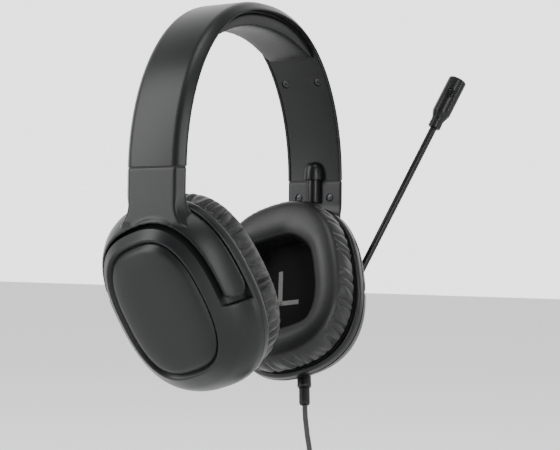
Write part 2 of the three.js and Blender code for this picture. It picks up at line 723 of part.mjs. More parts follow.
function volumeWheel() {
  const { radius, thickness, h } = WHEEL;
  const ridges = 16;
  const shape = new THREE.Shape();
  for (let k = 0; k < ridges * 2; k += 1) {
    const angle = Math.PI * k / ridges;
    const reach = k % 2 ? radius : radius - 0.5;
    const [x, y] = [reach * Math.cos(angle), reach * Math.sin(angle)];
    if (k === 0) shape.moveTo(x, y);
    else shape.lineTo(x, y);
  }
  const disc = new THREE.ExtrudeGeometry(shape, { depth: thickness, bevelEnabled: false });
  disc.rotateY(Math.PI / 2).translate(h - thickness / 2, WHEEL_U, WHEEL.v);
  return cut(reoriented(disc), rod(1.5, -40, 40, outward(1), wheelAt(0), 12));
}

function volumeControl() {
  const top = WHEEL.h + WHEEL.thickness / 2;
  const can = rod(2.4, top + 0.4, top + 1.4, outward(1), wheelAt(0), 14);
  const shaft = rod(1.2, WHEEL.h - 1.6, top + 1, outward(1), wheelAt(0), 12);
  return join(can, shaft);
}

function circuitBoard() {
  return box(11.6, 12.8, -14, 10, -28, -11);
}

const outletAim = new THREE.Vector3(
  0, Math.sin(radians(-OUTLET_LEAN)), -Math.cos(radians(OUTLET_LEAN)));
const outletEdge = outline(sideInset(OUTLET_H), 720).filter((p) => p.y < 0)
  .reduce((best, p) => (Math.abs(p.x - OUTLET_U) < Math.abs(best.x - OUTLET_U) ? p : best));
const outletAt = new THREE.Vector3(OUTLET_H, outletEdge.x, outletEdge.y);
const RELIEF = { collar: 3.8, collarLength: 6.2, sleeve: 2.9, sleeveLength: 9.4, flange: 5 };

function reliefCollar() {
  const { collar, collarLength, flange } = RELIEF;
  const inside = -3.6;
  const body = turned([[0, inside], [flange, inside], [flange, inside + 1], [3.1, inside + 1],
    [3.1, 0.5], [collar, 0.5], [collar, collarLength],
    [collar - 0.5, collarLength + 0.5], [0, collarLength + 0.5]], 24);
  const bore = rod(RELIEF.sleeve - 0.6, inside - 1, 40, new THREE.Vector3(0, 1, 0));
  return aimed(cut(body, bore), outletAim, outletAt);
}

const SLEEVE_END = RELIEF.collarLength + RELIEF.sleeveLength;

function reliefSleeve() {
  const { sleeve, collarLength } = RELIEF;
  const start = collarLength + 0.8;
  const body = turned([[0, -2], [sleeve - 0.95, -2],
    [sleeve - 0.95, start], [sleeve, start], [sleeve, SLEEVE_END - 1], [sleeve - 0.3, SLEEVE_END],
    [0, SLEEVE_END]], 20);
  const bore = rod(CORD_RADIUS + GAP, -5, SLEEVE_END + 4, new THREE.Vector3(0, 1, 0),
    undefined, 12);
  return aimed(cut(body, bore), outletAim, outletAt);
}

function leftHousing() {
  const slot = rod(WHEEL.radius + 0.6, WHEEL.h - WHEEL.thickness / 2 - 0.4,
    WHEEL.h + WHEEL.thickness / 2 + 0.4, outward(1), wheelAt(0), 20);
  const canPocket = rod(2.7, WHEEL.h, WHEEL.h + WHEEL.thickness / 2 + 1.7, outward(1), wheelAt(0));
  const outlet = rod(3.4, -8, 8, outletAim, outletAt);
  const collarRoom = rod(RELIEF.collar + GAP, 0.2, 8, outletAim, outletAt);
  const flangeRoom = rod(RELIEF.flange + 0.3, -8, -2.2, outletAim, outletAt);
  const wireHole = rod(4, 14, 20, outward(1), hubAt(0));
  return cut(cupHousing(1), slot, canPocket, outlet, collarRoom, flangeRoom, wireHole);
}

// ---------------------------------------------------------------------------
// The cord: down from the outlet, then a tied coil with its plug below it
// ---------------------------------------------------------------------------

const coilCentre = new THREE.Vector3(COIL.x, COIL.y, COIL.z);

// A point of the coil at an angle from +Y towards +Z, at a radius, and beside its middle plane.
function onCoil(degrees, radius, x = 0) {
  const angle = radians(degrees);
  return coilCentre.clone().add(
    new THREE.Vector3(x, radius * Math.cos(angle), radius * Math.sin(angle)));
}

// The bend from hanging straight down to running along the outer turn.
function mergeBend() {
  const turn = MERGE_ANGLE - 40;
  const end = onCoil(MERGE_ANGLE, COIL_EDGE.radius, -COIL_EDGE.x);
  return [1, 2, 3, 4].map((k) => {
    const [from, to] = [radians(turn), radians(turn * k / 4)];
    return end.clone().add(new THREE.Vector3(0, MERGE_BEND * (Math.cos(to) - Math.cos(from)),
      MERGE_BEND * (Math.sin(from) - Math.sin(to))));
  });
}

function cordTube(points, steps) {
  const section = new THREE.Shape();
  section.absarc(0, 0, CORD_RADIUS, 0, Math.PI * 2);
  return reoriented(new THREE.ExtrudeGeometry(section,
    { steps, extrudePath: new THREE.CatmullRomCurve3(points), curveSegments: 4 }));
}

// The coil's outer shape: a ring about an axis along X, grown by a clearance.
function coilRing(grow = 0) {
  const [inner, outer] = [COIL.radius - COIL.radial / 2 - grow, COIL.radius + COIL.radial / 2 + grow];
  const half = COIL.axial / 2 + grow;
  const round = 2.2;
  const profile = [[inner, round - half], [inner + round, -half], [outer - round, -half],
    [outer, round - half], [outer, half - round], [outer - round, half], [inner + round, half],
    [inner, half - round], [inner, round - half]];
  return turned(profile, 24).rotateZ(Math.PI / 2).translate(COIL.x, COIL.y, COIL.z);
}

function cableLead() {
  const points = LEAD.map((p) => new THREE.Vector3(...p));
  return cut(cordTube([...points, ...mergeBend()], 18), coilRing(GAP));
}

const tailAt = (drop) => onCoil(180, COIL_EDGE.radius, COIL_EDGE.x).add(new THREE.Vector3(0, 0, -drop));

function cableTail() {
  const points = [0, 0.25, 0.5, 0.75, 1].map((part) => tailAt(part * (TAIL - GAP)));
  return cut(cordTube(points, 5), coilRing(GAP));
}

// A hook-and-loop tie closed round the coil.
function cableTie() {
  const { angle, length, wall, room } = TIE;
  const [radial, axial] = [COIL.radial / 2 + room, COIL.axial / 2 + room];
  const sleeve = (out, half) => box(-axial - out, axial + out, -half, half, -radial - out, radial + out);
  const tie = cut(sleeve(wall, length / 2), sleeve(0, length));
  const place = onCoil(angle, COIL.radius);
  return tie.rotateX(radians(angle - 90)).translate(place.x, place.y, place.z);
}

function plugBody() {
  const { neck, radius, length } = PLUG;
  const down = new THREE.Vector3(0, 0, -1);
  return aimed(turned([[0, 0], [neck, 0], [neck, 7], [radius - 0.4, 8.4], [radius, 10],
    [radius, length - 1], [radius - 0.5, length], [0, length]], 16), down, tailAt(TAIL));
}

function plugPin() {
  const { pin, length, pinLength } = PLUG;
  const from = length + GAP;
  const profile = [[0, from], [pin + 0.9, from], [pin + 0.9, from + 0.8], [pin, from + 0.8],
    [pin, from + pinLength - 3.2], [pin - 0.5, from + pinLength - 2.6], [pin, from + pinLength - 2],
    [0.5, from + pinLength], [0, from + pinLength]];
  return aimed(turned(profile, 14), new THREE.Vector3(0, 0, -1), tailAt(TAIL));
}

// ---------------------------------------------------------------------------
// The assembly
// ---------------------------------------------------------------------------

const headset = new THREE.Group();

function add(name, geometry, material, parent = headset) {
  const mesh = new THREE.Mesh(geometry, material);
  mesh.name = name;
  parent.add(mesh);
  return mesh;
}

add('headband_shell', headbandShell(), BLACK_ABS());
add('headband_inner_cover', headbandInnerCover(), DARK_ABS());
add('spring_band', springBand(), STEEL());
add('crown_pad_board', crownPadBoard(), DARK_ABS());
add('crown_pad', crownPad(), LEATHERETTE());
for (const place of bandScrewPlaces) {
  add(place.name, aimed(screw(), place.direction, place.origin), BLACK_SCREW());
}

for (const [side, sideName] of [[1, 'left'], [-1, 'right']]) {
  add(`cable_hood_${sideName}`, hood(side), DARK_ABS());
  add(`slider_strip_${sideName}`, sliderStrip(side), STEEL());
  add(`yoke_cover_${sideName}`, yokeCover(side), BLACK_ABS());
  add(`yoke_liner_${sideName}`, yokeLiner(side), DARK_ABS());
  add(`guide_tube_${sideName}`, guideTube(side), GLOSS_ABS());
  yokeScrewPlaces(side).forEach((place, k) => {
    add(`yoke_screw_${sideName}_${k ? 'rear' : 'front'}`,
      aimed(screw(), place.direction, place.origin), BLACK_SCREW());
  });

  const cup = new THREE.Group();
  cup.position.set(side * CUP_CENTRE.x, CUP_CENTRE.y, CUP_CENTRE.z);
  cup.rotation.y = side * CUP_TILT;
  headset.add(cup);
  const housing = side > 0 ? leftHousing() : cupHousing(side);
  add(`cup_housing_${sideName}`, housing, BLACK_ABS(), cup);
  add(`cup_cap_${sideName}`, cupCap(side), BLACK_ABS(), cup);
  add(`baffle_${sideName}`, bezel(side), DARK_ABS(), cup);
  add(`cushion_ring_${sideName}`, mountingRing(side), DARK_ABS(), cup);
  add(`ear_cushion_${sideName}`, earCushion(side), LEATHERETTE(), cup);
  add(`speaker_cloth_${sideName}`, speakerCloth(side), CLOTH(), cup);
  add(`driver_frame_${sideName}`, driverFrame(side), DARK_ABS(), cup);
  add(`driver_magnet_${sideName}`, driverMagnet(side), STEEL(), cup);
  add(`pivot_pin_${sideName}_front`, pivotPin(side, -1), STEEL(), cup);
  add(`pivot_pin_${sideName}_rear`, pivotPin(side, 1), STEEL(), cup);
  if (side > 0) {
    add('boom_hub', boomHub(), DARK_ABS(), cup);
    add('boom_rod', boomRod(), RUBBER(), cup);
    add('mic_shell', micShell(), DARK_ABS(), cup);
    add('mic_capsule', micCapsule(), STEEL(), cup);
    add('volume_wheel', volumeWheel(), DARK_ABS(), cup);
    add('volume_control', volumeControl(), STEEL(), cup);
    add('circuit_board', circuitBoard(), BOARD(), cup);
    add('relief_collar', reliefCollar(), RUBBER(), cup);
    add('relief_sleeve', reliefSleeve(), RUBBER(), cup);
  }
}

add('cable_lead', cableLead(), BRAID());
add('cable_coil', coilRing(), BRAID());
add('cable_tail', cableTail(), BRAID());
add('cable_tie', cableTie(), RUBBER());
add('plug_body', plugBody(), RUBBER());
add('plug_pin', plugPin(), GOLD());

export default headset;
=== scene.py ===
# %% [markdown]
# A wired gaming headset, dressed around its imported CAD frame. The frame gives the bodies that move, the
# joints, and the place of every part; this file gives each part its fine surface and its finish. Every new
# piece is worked out in millimetres as a numpy grid and written in metres, with its object at the origin.
# %% Load the frame
import json
import math

import bpy
import numpy as np
from mathutils import Matrix, Vector

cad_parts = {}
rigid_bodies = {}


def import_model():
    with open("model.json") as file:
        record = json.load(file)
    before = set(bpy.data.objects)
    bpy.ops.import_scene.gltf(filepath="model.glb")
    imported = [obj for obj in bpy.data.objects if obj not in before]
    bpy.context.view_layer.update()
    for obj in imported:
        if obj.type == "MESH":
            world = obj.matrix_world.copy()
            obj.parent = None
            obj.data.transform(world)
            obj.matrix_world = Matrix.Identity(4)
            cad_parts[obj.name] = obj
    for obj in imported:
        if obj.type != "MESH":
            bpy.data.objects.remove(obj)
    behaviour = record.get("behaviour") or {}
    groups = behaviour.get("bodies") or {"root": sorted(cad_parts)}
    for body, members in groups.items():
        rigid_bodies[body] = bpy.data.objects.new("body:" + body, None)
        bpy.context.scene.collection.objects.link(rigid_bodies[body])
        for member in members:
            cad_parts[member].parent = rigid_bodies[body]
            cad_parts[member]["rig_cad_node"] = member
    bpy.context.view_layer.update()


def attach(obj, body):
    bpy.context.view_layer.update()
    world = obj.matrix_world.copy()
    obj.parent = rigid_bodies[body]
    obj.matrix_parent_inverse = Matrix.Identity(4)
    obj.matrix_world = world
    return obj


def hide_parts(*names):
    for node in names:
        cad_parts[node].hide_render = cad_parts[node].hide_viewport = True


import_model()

MM = 0.001
PI = math.pi

# %% [markdown]
# The camera comes first, because it decides how much of the cord shows. It stands 741 mm from the middle of
# the line where the headband meets the yokes, a little below it and to the front right of the wearer. The
# lens is long, so both cups keep nearly the same size. A small shift places the headset left of the centre
# and leaves room for the microphone.
# %% Camera
SEAM_Z = -75.2
CAMERA = {"azimuth": -56.0, "elevation": -2.98, "distance": 741.0, "roll": 0.71, "lens": 91.0}
SHIFT = (0.0672, -0.0898)


def place_camera():
    """Camera on a sphere round the seam's middle, looking at it, then rolled about its own axis."""
    a, e = math.radians(CAMERA["azimuth"]), math.radians(CAMERA["elevation"])
    away = Vector((math.sin(a) * math.cos(e), -math.cos(a) * math.cos(e), math.sin(e)))
    target = Vector((0, 0, SEAM_Z * MM))
    camera = bpy.data.objects.new("camera", bpy.data.cameras.new("camera"))
    bpy.context.scene.collection.objects.link(camera)
    turn = away.to_track_quat("Z", "Y").to_matrix().to_4x4()
    roll = Matrix.Rotation(math.radians(CAMERA["roll"]), 4, "Z")
    camera.matrix_world = Matrix.Translation(target + away * CAMERA["distance"] * MM) @ turn @ roll
    camera.data.lens = CAMERA["lens"]
    camera.data.shift_x, camera.data.shift_y = SHIFT
    bpy.context.scene.camera = camera
    return camera


print("camera at", tuple(round(c, 3) for c in place_camera().matrix_world.translation))

# %% [markdown]
# Shader maths reads best as plain expressions. Value wraps one socket, and its operators add Math nodes, with
# the reflected forms too, so that 1 - mask works. Finish is one material: its constants go straight onto the
# shader's own sockets, and node() is the single way to add any other node.
# %% Shader tools


class Value:
    def __init__(self, finish, socket):
        self.finish, self.socket = finish, socket

    def math(self, operation, *others):
        return self.finish.node("ShaderNodeMath", {"operation": operation}, dict(enumerate((self, *others))))

    def reflected(self, operation, other):
        return self.finish.node("ShaderNodeMath", {"operation": operation}, {0: other, 1: self})

    __add__ = __radd__ = lambda self, other: self.math("ADD", other)
    __mul__ = __rmul__ = lambda self, other: self.math("MULTIPLY", other)
    __sub__ = lambda self, other: self.math("SUBTRACT", other)
    __rsub__ = lambda self, other: self.reflected("SUBTRACT", other)

    def wave(self, period):
        """A sine of the value, which repeats after each period."""
        return (self * (2 * PI / period)).math("SINE")

    def between(self, low, high):
        """0 below low, 1 above high, and smooth between them."""
        return self.finish.node("ShaderNodeMapRange", {"interpolation_type": "SMOOTHSTEP"},
                                {"Value": self, "From Min": low, "From Max": high})


class Finish:
    def __init__(self, name, **constants):
        self.material = bpy.data.materials.new(name)
        self.material.use_nodes = True
        self.tree = self.material.node_tree
        self.shader = self.tree.nodes["Principled BSDF"]
        for socket, value in constants.items():
            self.set(socket.replace("_", " "), value)

    def set(self, socket, value):
        self.plug(self.shader.inputs[socket], value)

    def plug(self, socket, value):
        if isinstance(value, Value):
            self.tree.links.new(value.socket, socket)
        elif isinstance(value, tuple) and socket.type == "RGBA":
            socket.default_value = (*value, 1)
        else:
            socket.default_value = value

    def node(self, kind, settings=None, inputs=None, output=0):
        made = self.tree.nodes.new(kind)
        for key, value in (settings or {}).items():
            setattr(made, key, value)
        for key, value in (inputs or {}).items():
            self.plug(made.inputs[key], value)
        return Value(self, made.outputs[output])

    def place(self, stretch=(1, 1, 1), turn=(0, 0, 0)):
        """Object coordinates, in metres, turned and stretched."""
        raw = self.node("ShaderNodeTexCoord", output="Object")
        return self.node("ShaderNodeMapping", {"vector_type": "TEXTURE"},
                         {"Vector": raw, "Rotation": turn, "Scale": stretch})

    def axis(self, vector, index):
        """One of a vector's three numbers."""
        return self.node("ShaderNodeSeparateXYZ", None, {"Vector": vector}, output=index)

    def noise(self, size, detail=2.0, place=None):
        """Cloudy noise from 0 to 1, with features of about the given size in millimetres."""
        return self.node("ShaderNodeTexNoise", None, {"Vector": place or self.place(),
                         "Scale": 1 / (size * MM), "Detail": detail})

    def mix(self, factor, first, second):
        return self.node("ShaderNodeMix", {"data_type": "RGBA"},
                         {0: factor, 6: first, 7: second}, output=2)

    def bump(self, height, depth, strength=1.0):
        """Bump from a height that runs from 0 to 1, for a depth in millimetres."""
        normal = self.node("ShaderNodeBump", None,
                           {"Height": height, "Distance": depth * MM, "Strength": strength})
        self.set("Normal", normal)


# %% [markdown]
# The shells of the real headset are satin ABS out of an etched mould: nearly black, with a grain of a few
# tenths of a millimetre that softens the reflections, and a slow drift in gloss where the plastic flowed. One
# function makes the satin, inner and polished plastics, which differ in grain and gloss only.
# %% Plastics, rubber and metals


FLOW_SIZE = 38
FLOW_SHARE, PORE_SHARE = 0.06, 0.08


def plastic(name, colour, lighter, gloss, grain, depth):
    """Roughness drifts about the gloss with the slow flow and the fine pores."""
    made = Finish(name, Specular_IOR_Level=0.2)
    flow = made.noise(FLOW_SIZE, 2)
    pores = made.noise(grain, 3)
    made.set("Base Color", made.mix(flow, colour, lighter))
    made.set("Roughness", flow * FLOW_SHARE + pores * PORE_SHARE + (gloss - (FLOW_SHARE + PORE_SHARE) / 2))
    made.bump(pores, depth, 0.35)
    return made.material


shell_finish = plastic("satin_shell", (0.0036, 0.0042, 0.0042), (0.0050, 0.0057, 0.0057), 0.37, 0.22, 0.01)
inner_finish = plastic("etched_inner", (0.0026, 0.0029, 0.003), (0.0038, 0.0042, 0.0042), 0.44, 0.35, 0.015)
gloss_finish = plastic("polished_plastic", (0.0026, 0.003, 0.003), (0.0034, 0.0038, 0.0038), 0.33, 0.9, 0.001)
rubber_finish = plastic("soft_elastomer", (0.0036, 0.0038, 0.0039), (0.0055, 0.0058, 0.0059), 0.5, 0.3, 0.015)


def metal(name, colour, gloss, lay):
    """Drawn metal: noise stretched along one axis leaves fine parallel scratches."""
    made = Finish(name, Metallic=1.0)
    streaks = made.noise(0.12, 3, made.place(stretch=lay))
    made.set("Base Color", made.mix(streaks, colour, tuple(c * 0.8 for c in colour)))
    made.set("Roughness", streaks * 0.18 + gloss)
    made.bump(streaks, 0.004, 0.5)
    return made.material


steel_finish = metal("spring_steel", (0.46, 0.47, 0.48), 0.22, (1, 1, 30))
screw_finish = metal("black_oxide", (0.045, 0.047, 0.05), 0.28, (3, 3, 3))
gold_finish = metal("gold_plate", (0.83, 0.62, 0.22), 0.14, (1, 1, 8))
print("plastics:", [m.name for m in (shell_finish, inner_finish, gloss_finish, rubber_finish)])
print("metals:", [m.name for m in (steel_finish, screw_finish, gold_finish)])

# %% [markdown]
# Leatherette is a printed grain: shallow rounded cells half a millimetre wide, with fine valleys between
# them. Distance to the nearest cell edge gives those valleys, and a slower noise makes some areas smoother,
# where skin has polished the coating.
# %% Leatherette
CELL = 0.62


def leatherette():
    made = Finish("leatherette", Specular_IOR_Level=0.24, Coat_Roughness=0.35)
    cells = made.node("ShaderNodeTexVoronoi", {"feature": "DISTANCE_TO_EDGE"},
                      {"Vector": made.place(), "Scale": 1 / (CELL * MM)})
    valleys = cells.between(0.0, 0.22)
    worn = made.noise(24, 2)
    made.set("Base Color", made.mix(valleys, (0.0018, 0.002, 0.002), (0.0046, 0.005, 0.005)))
    made.set("Roughness", 0.5 - valleys * 0.05 - worn * 0.08)
    made.set("Coat Weight", worn * 0.12)
    made.bump(valleys * 0.7 + made.noise(1.8, 2) * 0.3, 0.03, 0.45)
    return made.material


leather_finish = leatherette()
print("leatherette cells of", CELL, "mm")

# %% [markdown]
# The speaker cloth is a fine tricot knit. Two crossed waves in the plane of the cloth give rows of loops, and
# their product is the height. The ear marks are printed on the cloth in grey ink, so they show the same knit.
# %% Knitted cloth, print and circuit board
LOOP_WIDTH, LOOP_HEIGHT = 0.62, 0.74


def knit(name, dark, light, ink=0.0):
    made = Finish(name, Roughness=0.95, Specular_IOR_Level=0.12)
    across = made.axis(made.place(), 1).wave(LOOP_WIDTH * MM)
    along = made.axis(made.place(), 2).wave(LOOP_HEIGHT * MM)
    loops = across * along * 0.5 + 0.5
    fuzz = made.noise(0.5, 4)
    made.set("Base Color", made.mix(loops * 0.6 + fuzz * (0.4 + ink), dark, light))
    made.bump(loops * 0.7 + fuzz * 0.3, 0.09, 0.8)
    return made.material


cloth_finish = knit("speaker_knit", (0.0008, 0.0008, 0.0009), (0.0035, 0.0036, 0.0037))
print_finish = knit("printed_mark", (0.01, 0.01, 0.01), (0.15, 0.15, 0.146), 0.1)


def board():
    made = Finish("solder_mask", Roughness=0.35, Coat_Weight=0.4)
    tracks = made.noise(1.6, 0, made.place(stretch=(6, 1, 1))).between(0.52, 0.55)
    made.set("Base Color", made.mix(tracks, (0.006, 0.055, 0.018), (0.016, 0.12, 0.04)))
    made.bump(tracks, 0.035)
    return made.material


board_finish = board()
print("cloth, print and board:", [m.name for m in (cloth_finish, print_finish, board_finish)])

# %% [markdown]
# The cord's sleeve is braided nylon: two families of ribbons run round it in opposite directions, and each
# dives under the other at every crossing. On the cord's own UV map, u runs once round and v counts diameters
# along it, so u + v and u - v are the two directions and one product of sines says which family is on top.
# %% Braid
STRANDS = 6
SLANT = 0.42


def braid():
    made = Finish("braided_sleeve", Roughness=0.62, Specular_IOR_Level=0.3)
    raw = made.node("ShaderNodeUVMap", {"uv_map": "braid"})
    u, v = made.axis(raw, 0), made.axis(raw, 1) * SLANT
    over = (u + v).wave(1 / STRANDS) * (u - v).wave(1 / STRANDS) * 0.5 + 0.5
    threads = (u + v).wave(1 / STRANDS / 4) * 0.5 + 0.5
    fleck = made.noise(1.1, 3)
    made.set("Base Color", made.mix(over * 0.65 + fleck * 0.35, (0.004, 0.004, 0.0043), (0.05, 0.05, 0.054)))
    made.bump(over * 0.85 + threads * 0.15, 0.2, 0.9)
    return made.material


braid_finish = braid()
print("braid of", STRANDS, "strands each way")

# %% [markdown]
# Nearly every part is a grid of points: a profile carried along a path, or a turned outline. surface() joins
# a grid's neighbours into quads, closes it round or across its ends, and turns the faces outward by the sign
# of the enclosed volume. soften() rounds a profile's corners with short parabolas, as a mould's edges are.
# %% From a grid to a piece


def soften(corners, radius, steps=4, closed=True):
    """Each corner becomes a parabola that starts and ends one radius away, or under half an edge."""
    p = np.asarray(corners, float)
    radius = np.broadcast_to(np.asarray(radius, float), len(p)).copy()
    if not closed:
        radius[[0, -1]] = 0
    t = np.linspace(0, 1, steps + 1)[None, :, None]
    parts = []
    for other in (np.roll(p, 1, 0), np.roll(p, -1, 0)):
        edge = other - p
        size = np.linalg.norm(edge, axis=1)
        parts.append(p + edge * (np.minimum(radius, 0.47 * size) / np.maximum(size, 1e-9))[:, None])
    before, after = parts
    bend = (1 - t) ** 2 * before[:, None] + 2 * t * (1 - t) * p[:, None] + t ** 2 * after[:, None]
    flat = bend.reshape(-1, p.shape[1])
    keep = np.ones(len(flat), bool)
    keep[1:] = np.linalg.norm(np.diff(flat, axis=0), axis=1) > 1e-6
    return flat[keep]


def grid_faces(rows, cols, wrap_rows, wrap_cols):
    """Quads between neighbours of a grid whose points are numbered row by row."""
    index = np.arange(rows * cols).reshape(rows, cols)
    if wrap_rows:
        index = np.vstack([index, index[:1]])
    if wrap_cols:
        index = np.hstack([index, index[:, :1]])
    quads = np.stack([index[:-1, :-1], index[:-1, 1:], index[1:, 1:], index[1:, :-1]], -1)
    return quads.reshape(-1, 4).tolist()


def turned_out(points, faces):
    """Faces reversed if the volume they enclose comes out negative."""
    fans = [(f[0], f[k], f[k + 1]) for f in faces for k in range(1, len(f) - 1)]
    a, b, c = (points[list(corner)] for corner in zip(*fans))
    volume = np.einsum("ij,ij->i", a, np.cross(b, c)).sum()
    return faces if volume > 0 else [list(reversed(f)) for f in faces]


def new_object(name, points, faces, material=None):
    mesh = bpy.data.meshes.new(name)
    mesh.from_pydata((points * MM).tolist(), [], turned_out(points, faces))
    mesh.shade_smooth()
    mesh.set_sharp_from_angle(angle=math.radians(38))
    piece = bpy.data.objects.new(name, mesh)
    if material:
        mesh.materials.append(material)
    bpy.context.scene.collection.objects.link(piece)
    return piece


def surface(name, grid, material=None, wrap_rows=False, wrap_cols=True, ends="face"):
    """A grid of (rows, cols, 3) points. One face closes each end row, or a fan to its middle."""
    rows, cols = grid.shape[:2]
    points = grid.reshape(-1, 3)
    faces = grid_faces(rows, cols, wrap_rows, wrap_cols)
    if not wrap_rows and wrap_cols:
        last = (rows - 1) * cols
        if ends == "face":
            faces += [list(range(cols))[::-1], [last + k for k in range(cols)]]
        else:
            points = np.vstack([points, grid[0].mean(0), grid[-1].mean(0)])
            first, second = rows * cols, rows * cols + 1
            faces += [[first, (k + 1) % cols, k] for k in range(cols)]
            faces += [[second, last + k, last + (k + 1) % cols] for k in range(cols)]
    return new_object(name, points, faces, material)


def dress(piece, body, slot, *nodes):
    """The piece rides on a body and stands for the CAD nodes named; slot is not used."""
    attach(piece, body)
    if nodes:
        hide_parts(*nodes)
    return piece


def both_sides(piece, name, body, slot, *nodes):
    """The left piece and its mirror image; {} in a name stands for the side."""
    for one, side in ((mirrored(piece, name.format("right")), "right"), (piece, "left")):
        dress(one, body.format(side), slot, *(node.format(side) for node in nodes))


def on_its_side(piece, side):
    """The piece as it is on the left; on the right its mirror image takes its place and name."""
    if side == "left":
        return piece
    name = piece.name
    twin = mirrored(piece, "twin")
    bpy.data.objects.remove(piece)
    twin.name = name
    return twin


def mirrored(piece, name):
    """A copy reflected in the wearer's middle plane, with its faces turned back out."""
    mesh = piece.data
    points = np.empty(len(mesh.vertices) * 3)
    mesh.vertices.foreach_get("co", points)
    points = points.reshape(-1, 3) * (-1, 1, 1) / MM
    faces = [list(face.vertices) for face in mesh.polygons]
    return new_object(name, points, faces, mesh.materials[0] if mesh.materials else None)


# %% [markdown]
# Turned parts, such as hoods, screws, the microphone and the plug, are a profile of (radius, height) spun
# round an axis. A profile that touches the axis at its ends closes in a fan there; one that never touches it
# is a closed loop, and makes a tube with its bore. drill() cuts a straight round hole with such a cylinder.
# %% Turning


def axes_along(direction):
    """Three perpendicular unit vectors, the last along the direction."""
    w = np.asarray(direction, float) / np.linalg.norm(direction)
    helper = np.eye(3)[np.argmin(np.abs(w))]
    u = np.cross(helper, w)
    u /= np.linalg.norm(u)
    return u, np.cross(w, u), w


def spun(profile, origin, direction, sides=72):
    """Points at radius r, height y: origin + r (cos a u + sin a v) + y w, for a full turn of a."""
    u, v, w = axes_along(direction)
    a = np.linspace(0, 2 * PI, sides, endpoint=False)[None, :, None]
    r, y = (profile[:, k][:, None, None] for k in (0, 1))
    return np.asarray(origin, float) + r * (np.cos(a) * u + np.sin(a) * v) + y * w


def turned(name, corners, origin, direction, material, radius=0.25, sides=72, loop=False):
    profile = soften(corners, radius, closed=loop)
    if not loop:
        profile[[0, -1], 0] = np.maximum(profile[[0, -1], 0], 0.004)
    return surface(name, spun(profile, origin, direction, sides), material, wrap_rows=loop, ends="fan")


def carve(piece, cutter):
    """Boolean difference, applied at once, so that the piece is a plain mesh again."""
    cut = piece.modifiers.new("cut", "BOOLEAN")
    cut.operation, cut.solver, cut.object = "DIFFERENCE", "EXACT", cutter
    seen = piece.evaluated_get(bpy.context.evaluated_depsgraph_get())
    mesh = bpy.data.meshes.new_from_object(seen)
    piece.modifiers.clear()
    piece.data = mesh
    mesh.set_sharp_from_angle(angle=math.radians(38))
    bpy.data.objects.remove(cutter)


def drill(piece, place, direction, radius, start, end, soft=0.01, sides=40):
    """A round hole from start to end, both measured along the direction from the place."""
    line = [(0, start), (radius, start), (radius, end), (0, end)]
    carve(piece, turned("cutter", line, place, direction, None, soft, sides))


# %% [markdown]
# The cord is settled before the rest. It leaves the left cup, hangs under its own weight, and bends into the
# outer turn of a tied coil. The coil has four flat spirals side by side: one winds in, the next winds out, so
# both ends are on the outside. The radius is therefore a triangle wave of the turns, and the place along the
# coil's axis is a smooth staircase. Each turn lies one diameter from the next.
# %% The cord's route
CORD_RADIUS = 1.4
LEAD = np.array([
    [36.0, -17.7, -197.0], [35.1, -18.4, -199.5], [34.4, -19.0, -202.2], [34.0, -19.6, -205.2],
    [33.8, -20.2, -208.4], [33.6, -20.8, -211.6], [33.5, -21.5, -214.8], [33.5, -22.1, -218.0],
    [33.5, -22.7, -221.0], [33.5, -23.2, -223.8], [33.5, -23.6, -226.4],
])
COIL_CENTRE = np.array([37.9, -21.95, -257.0])
COIL_RADII = (23.1, 10.5)
COLUMN_STEP = 2.933
COLUMNS = 4
MERGE_ANGLE = math.radians(110)
MERGE_TURN = math.radians(70)
MERGE_BEND = 9.5
TURNS = 18 + 70 / 360
TAIL = 24.0
PLUG_GAP = 0.3
STAIR_WIDTH = 0.09


def winding(turns):
    """Angle grows with the turns; radius is a triangle wave; x climbs a smooth stair between columns."""
    angle = MERGE_ANGLE + 2 * PI * turns
    phase = turns / TURNS * COLUMNS
    outer, inner = COIL_RADII
    radius = outer - (outer - inner) * np.abs((phase + 1) % 2 - 1)
    edges = np.arange(1, COLUMNS)[:, None]
    climb = np.clip((phase[None] - edges) / STAIR_WIDTH + 0.5, 0, 1)
    stair = (climb ** 2 * (3 - 2 * climb)).sum(0)
    x = (stair - (COLUMNS - 1) / 2) * COLUMN_STEP
    return COIL_CENTRE + np.stack([x, radius * np.cos(angle), radius * np.sin(angle)], 1)


def smooth_route(points, count):
    """A Catmull-Rom curve through the points, as one array of samples."""
    p = np.vstack([2 * points[0] - points[1], points, 2 * points[-1] - points[-2]])
    t = np.linspace(0, len(points) - 1 - 1e-9, count)
    k = t.astype(int)
    f = (t - k)[:, None]
    a, b, c, d = p[k], p[k + 1], p[k + 2], p[k + 3]
    square, cube = 2 * a - 5 * b + 4 * c - d, 3 * b - a - 3 * c + d
    return 0.5 * (2 * b + (c - a) * f + square * f ** 2 + cube * f ** 3)


def cord_route():
    merge = winding(np.zeros(1))[0]
    bend = np.linspace(0, MERGE_TURN, 8)[1:-1]
    arc = np.stack([0 * bend, MERGE_BEND * (np.cos(bend) - np.cos(MERGE_TURN)),
                    MERGE_BEND * (np.sin(MERGE_TURN) - np.sin(bend))], 1) + merge
    coil = winding(np.linspace(0, TURNS, 1150))
    drop = np.linspace(0, TAIL - PLUG_GAP, 14)[1:, None] * (0, 0, -1)
    return np.vstack([smooth_route(LEAD, 26), arc, coil, coil[-1] + drop])


route = cord_route()
steps = np.linalg.norm(np.diff(route, axis=0), axis=1)
CORD_LENGTH = steps.sum() * MM
print(f"cord: {CORD_LENGTH:.3f} m in {len(route)} points, {TURNS:.1f} turns")

# %% [markdown]
# The cord's surface is a circle carried along that route. Its frame takes the coil's axis as one direction,
# so the sleeve never twists. The UV map for the braid goes round once in u and along it in diameters in v.
# %% The cord's surface
CORD_SIDES = 12


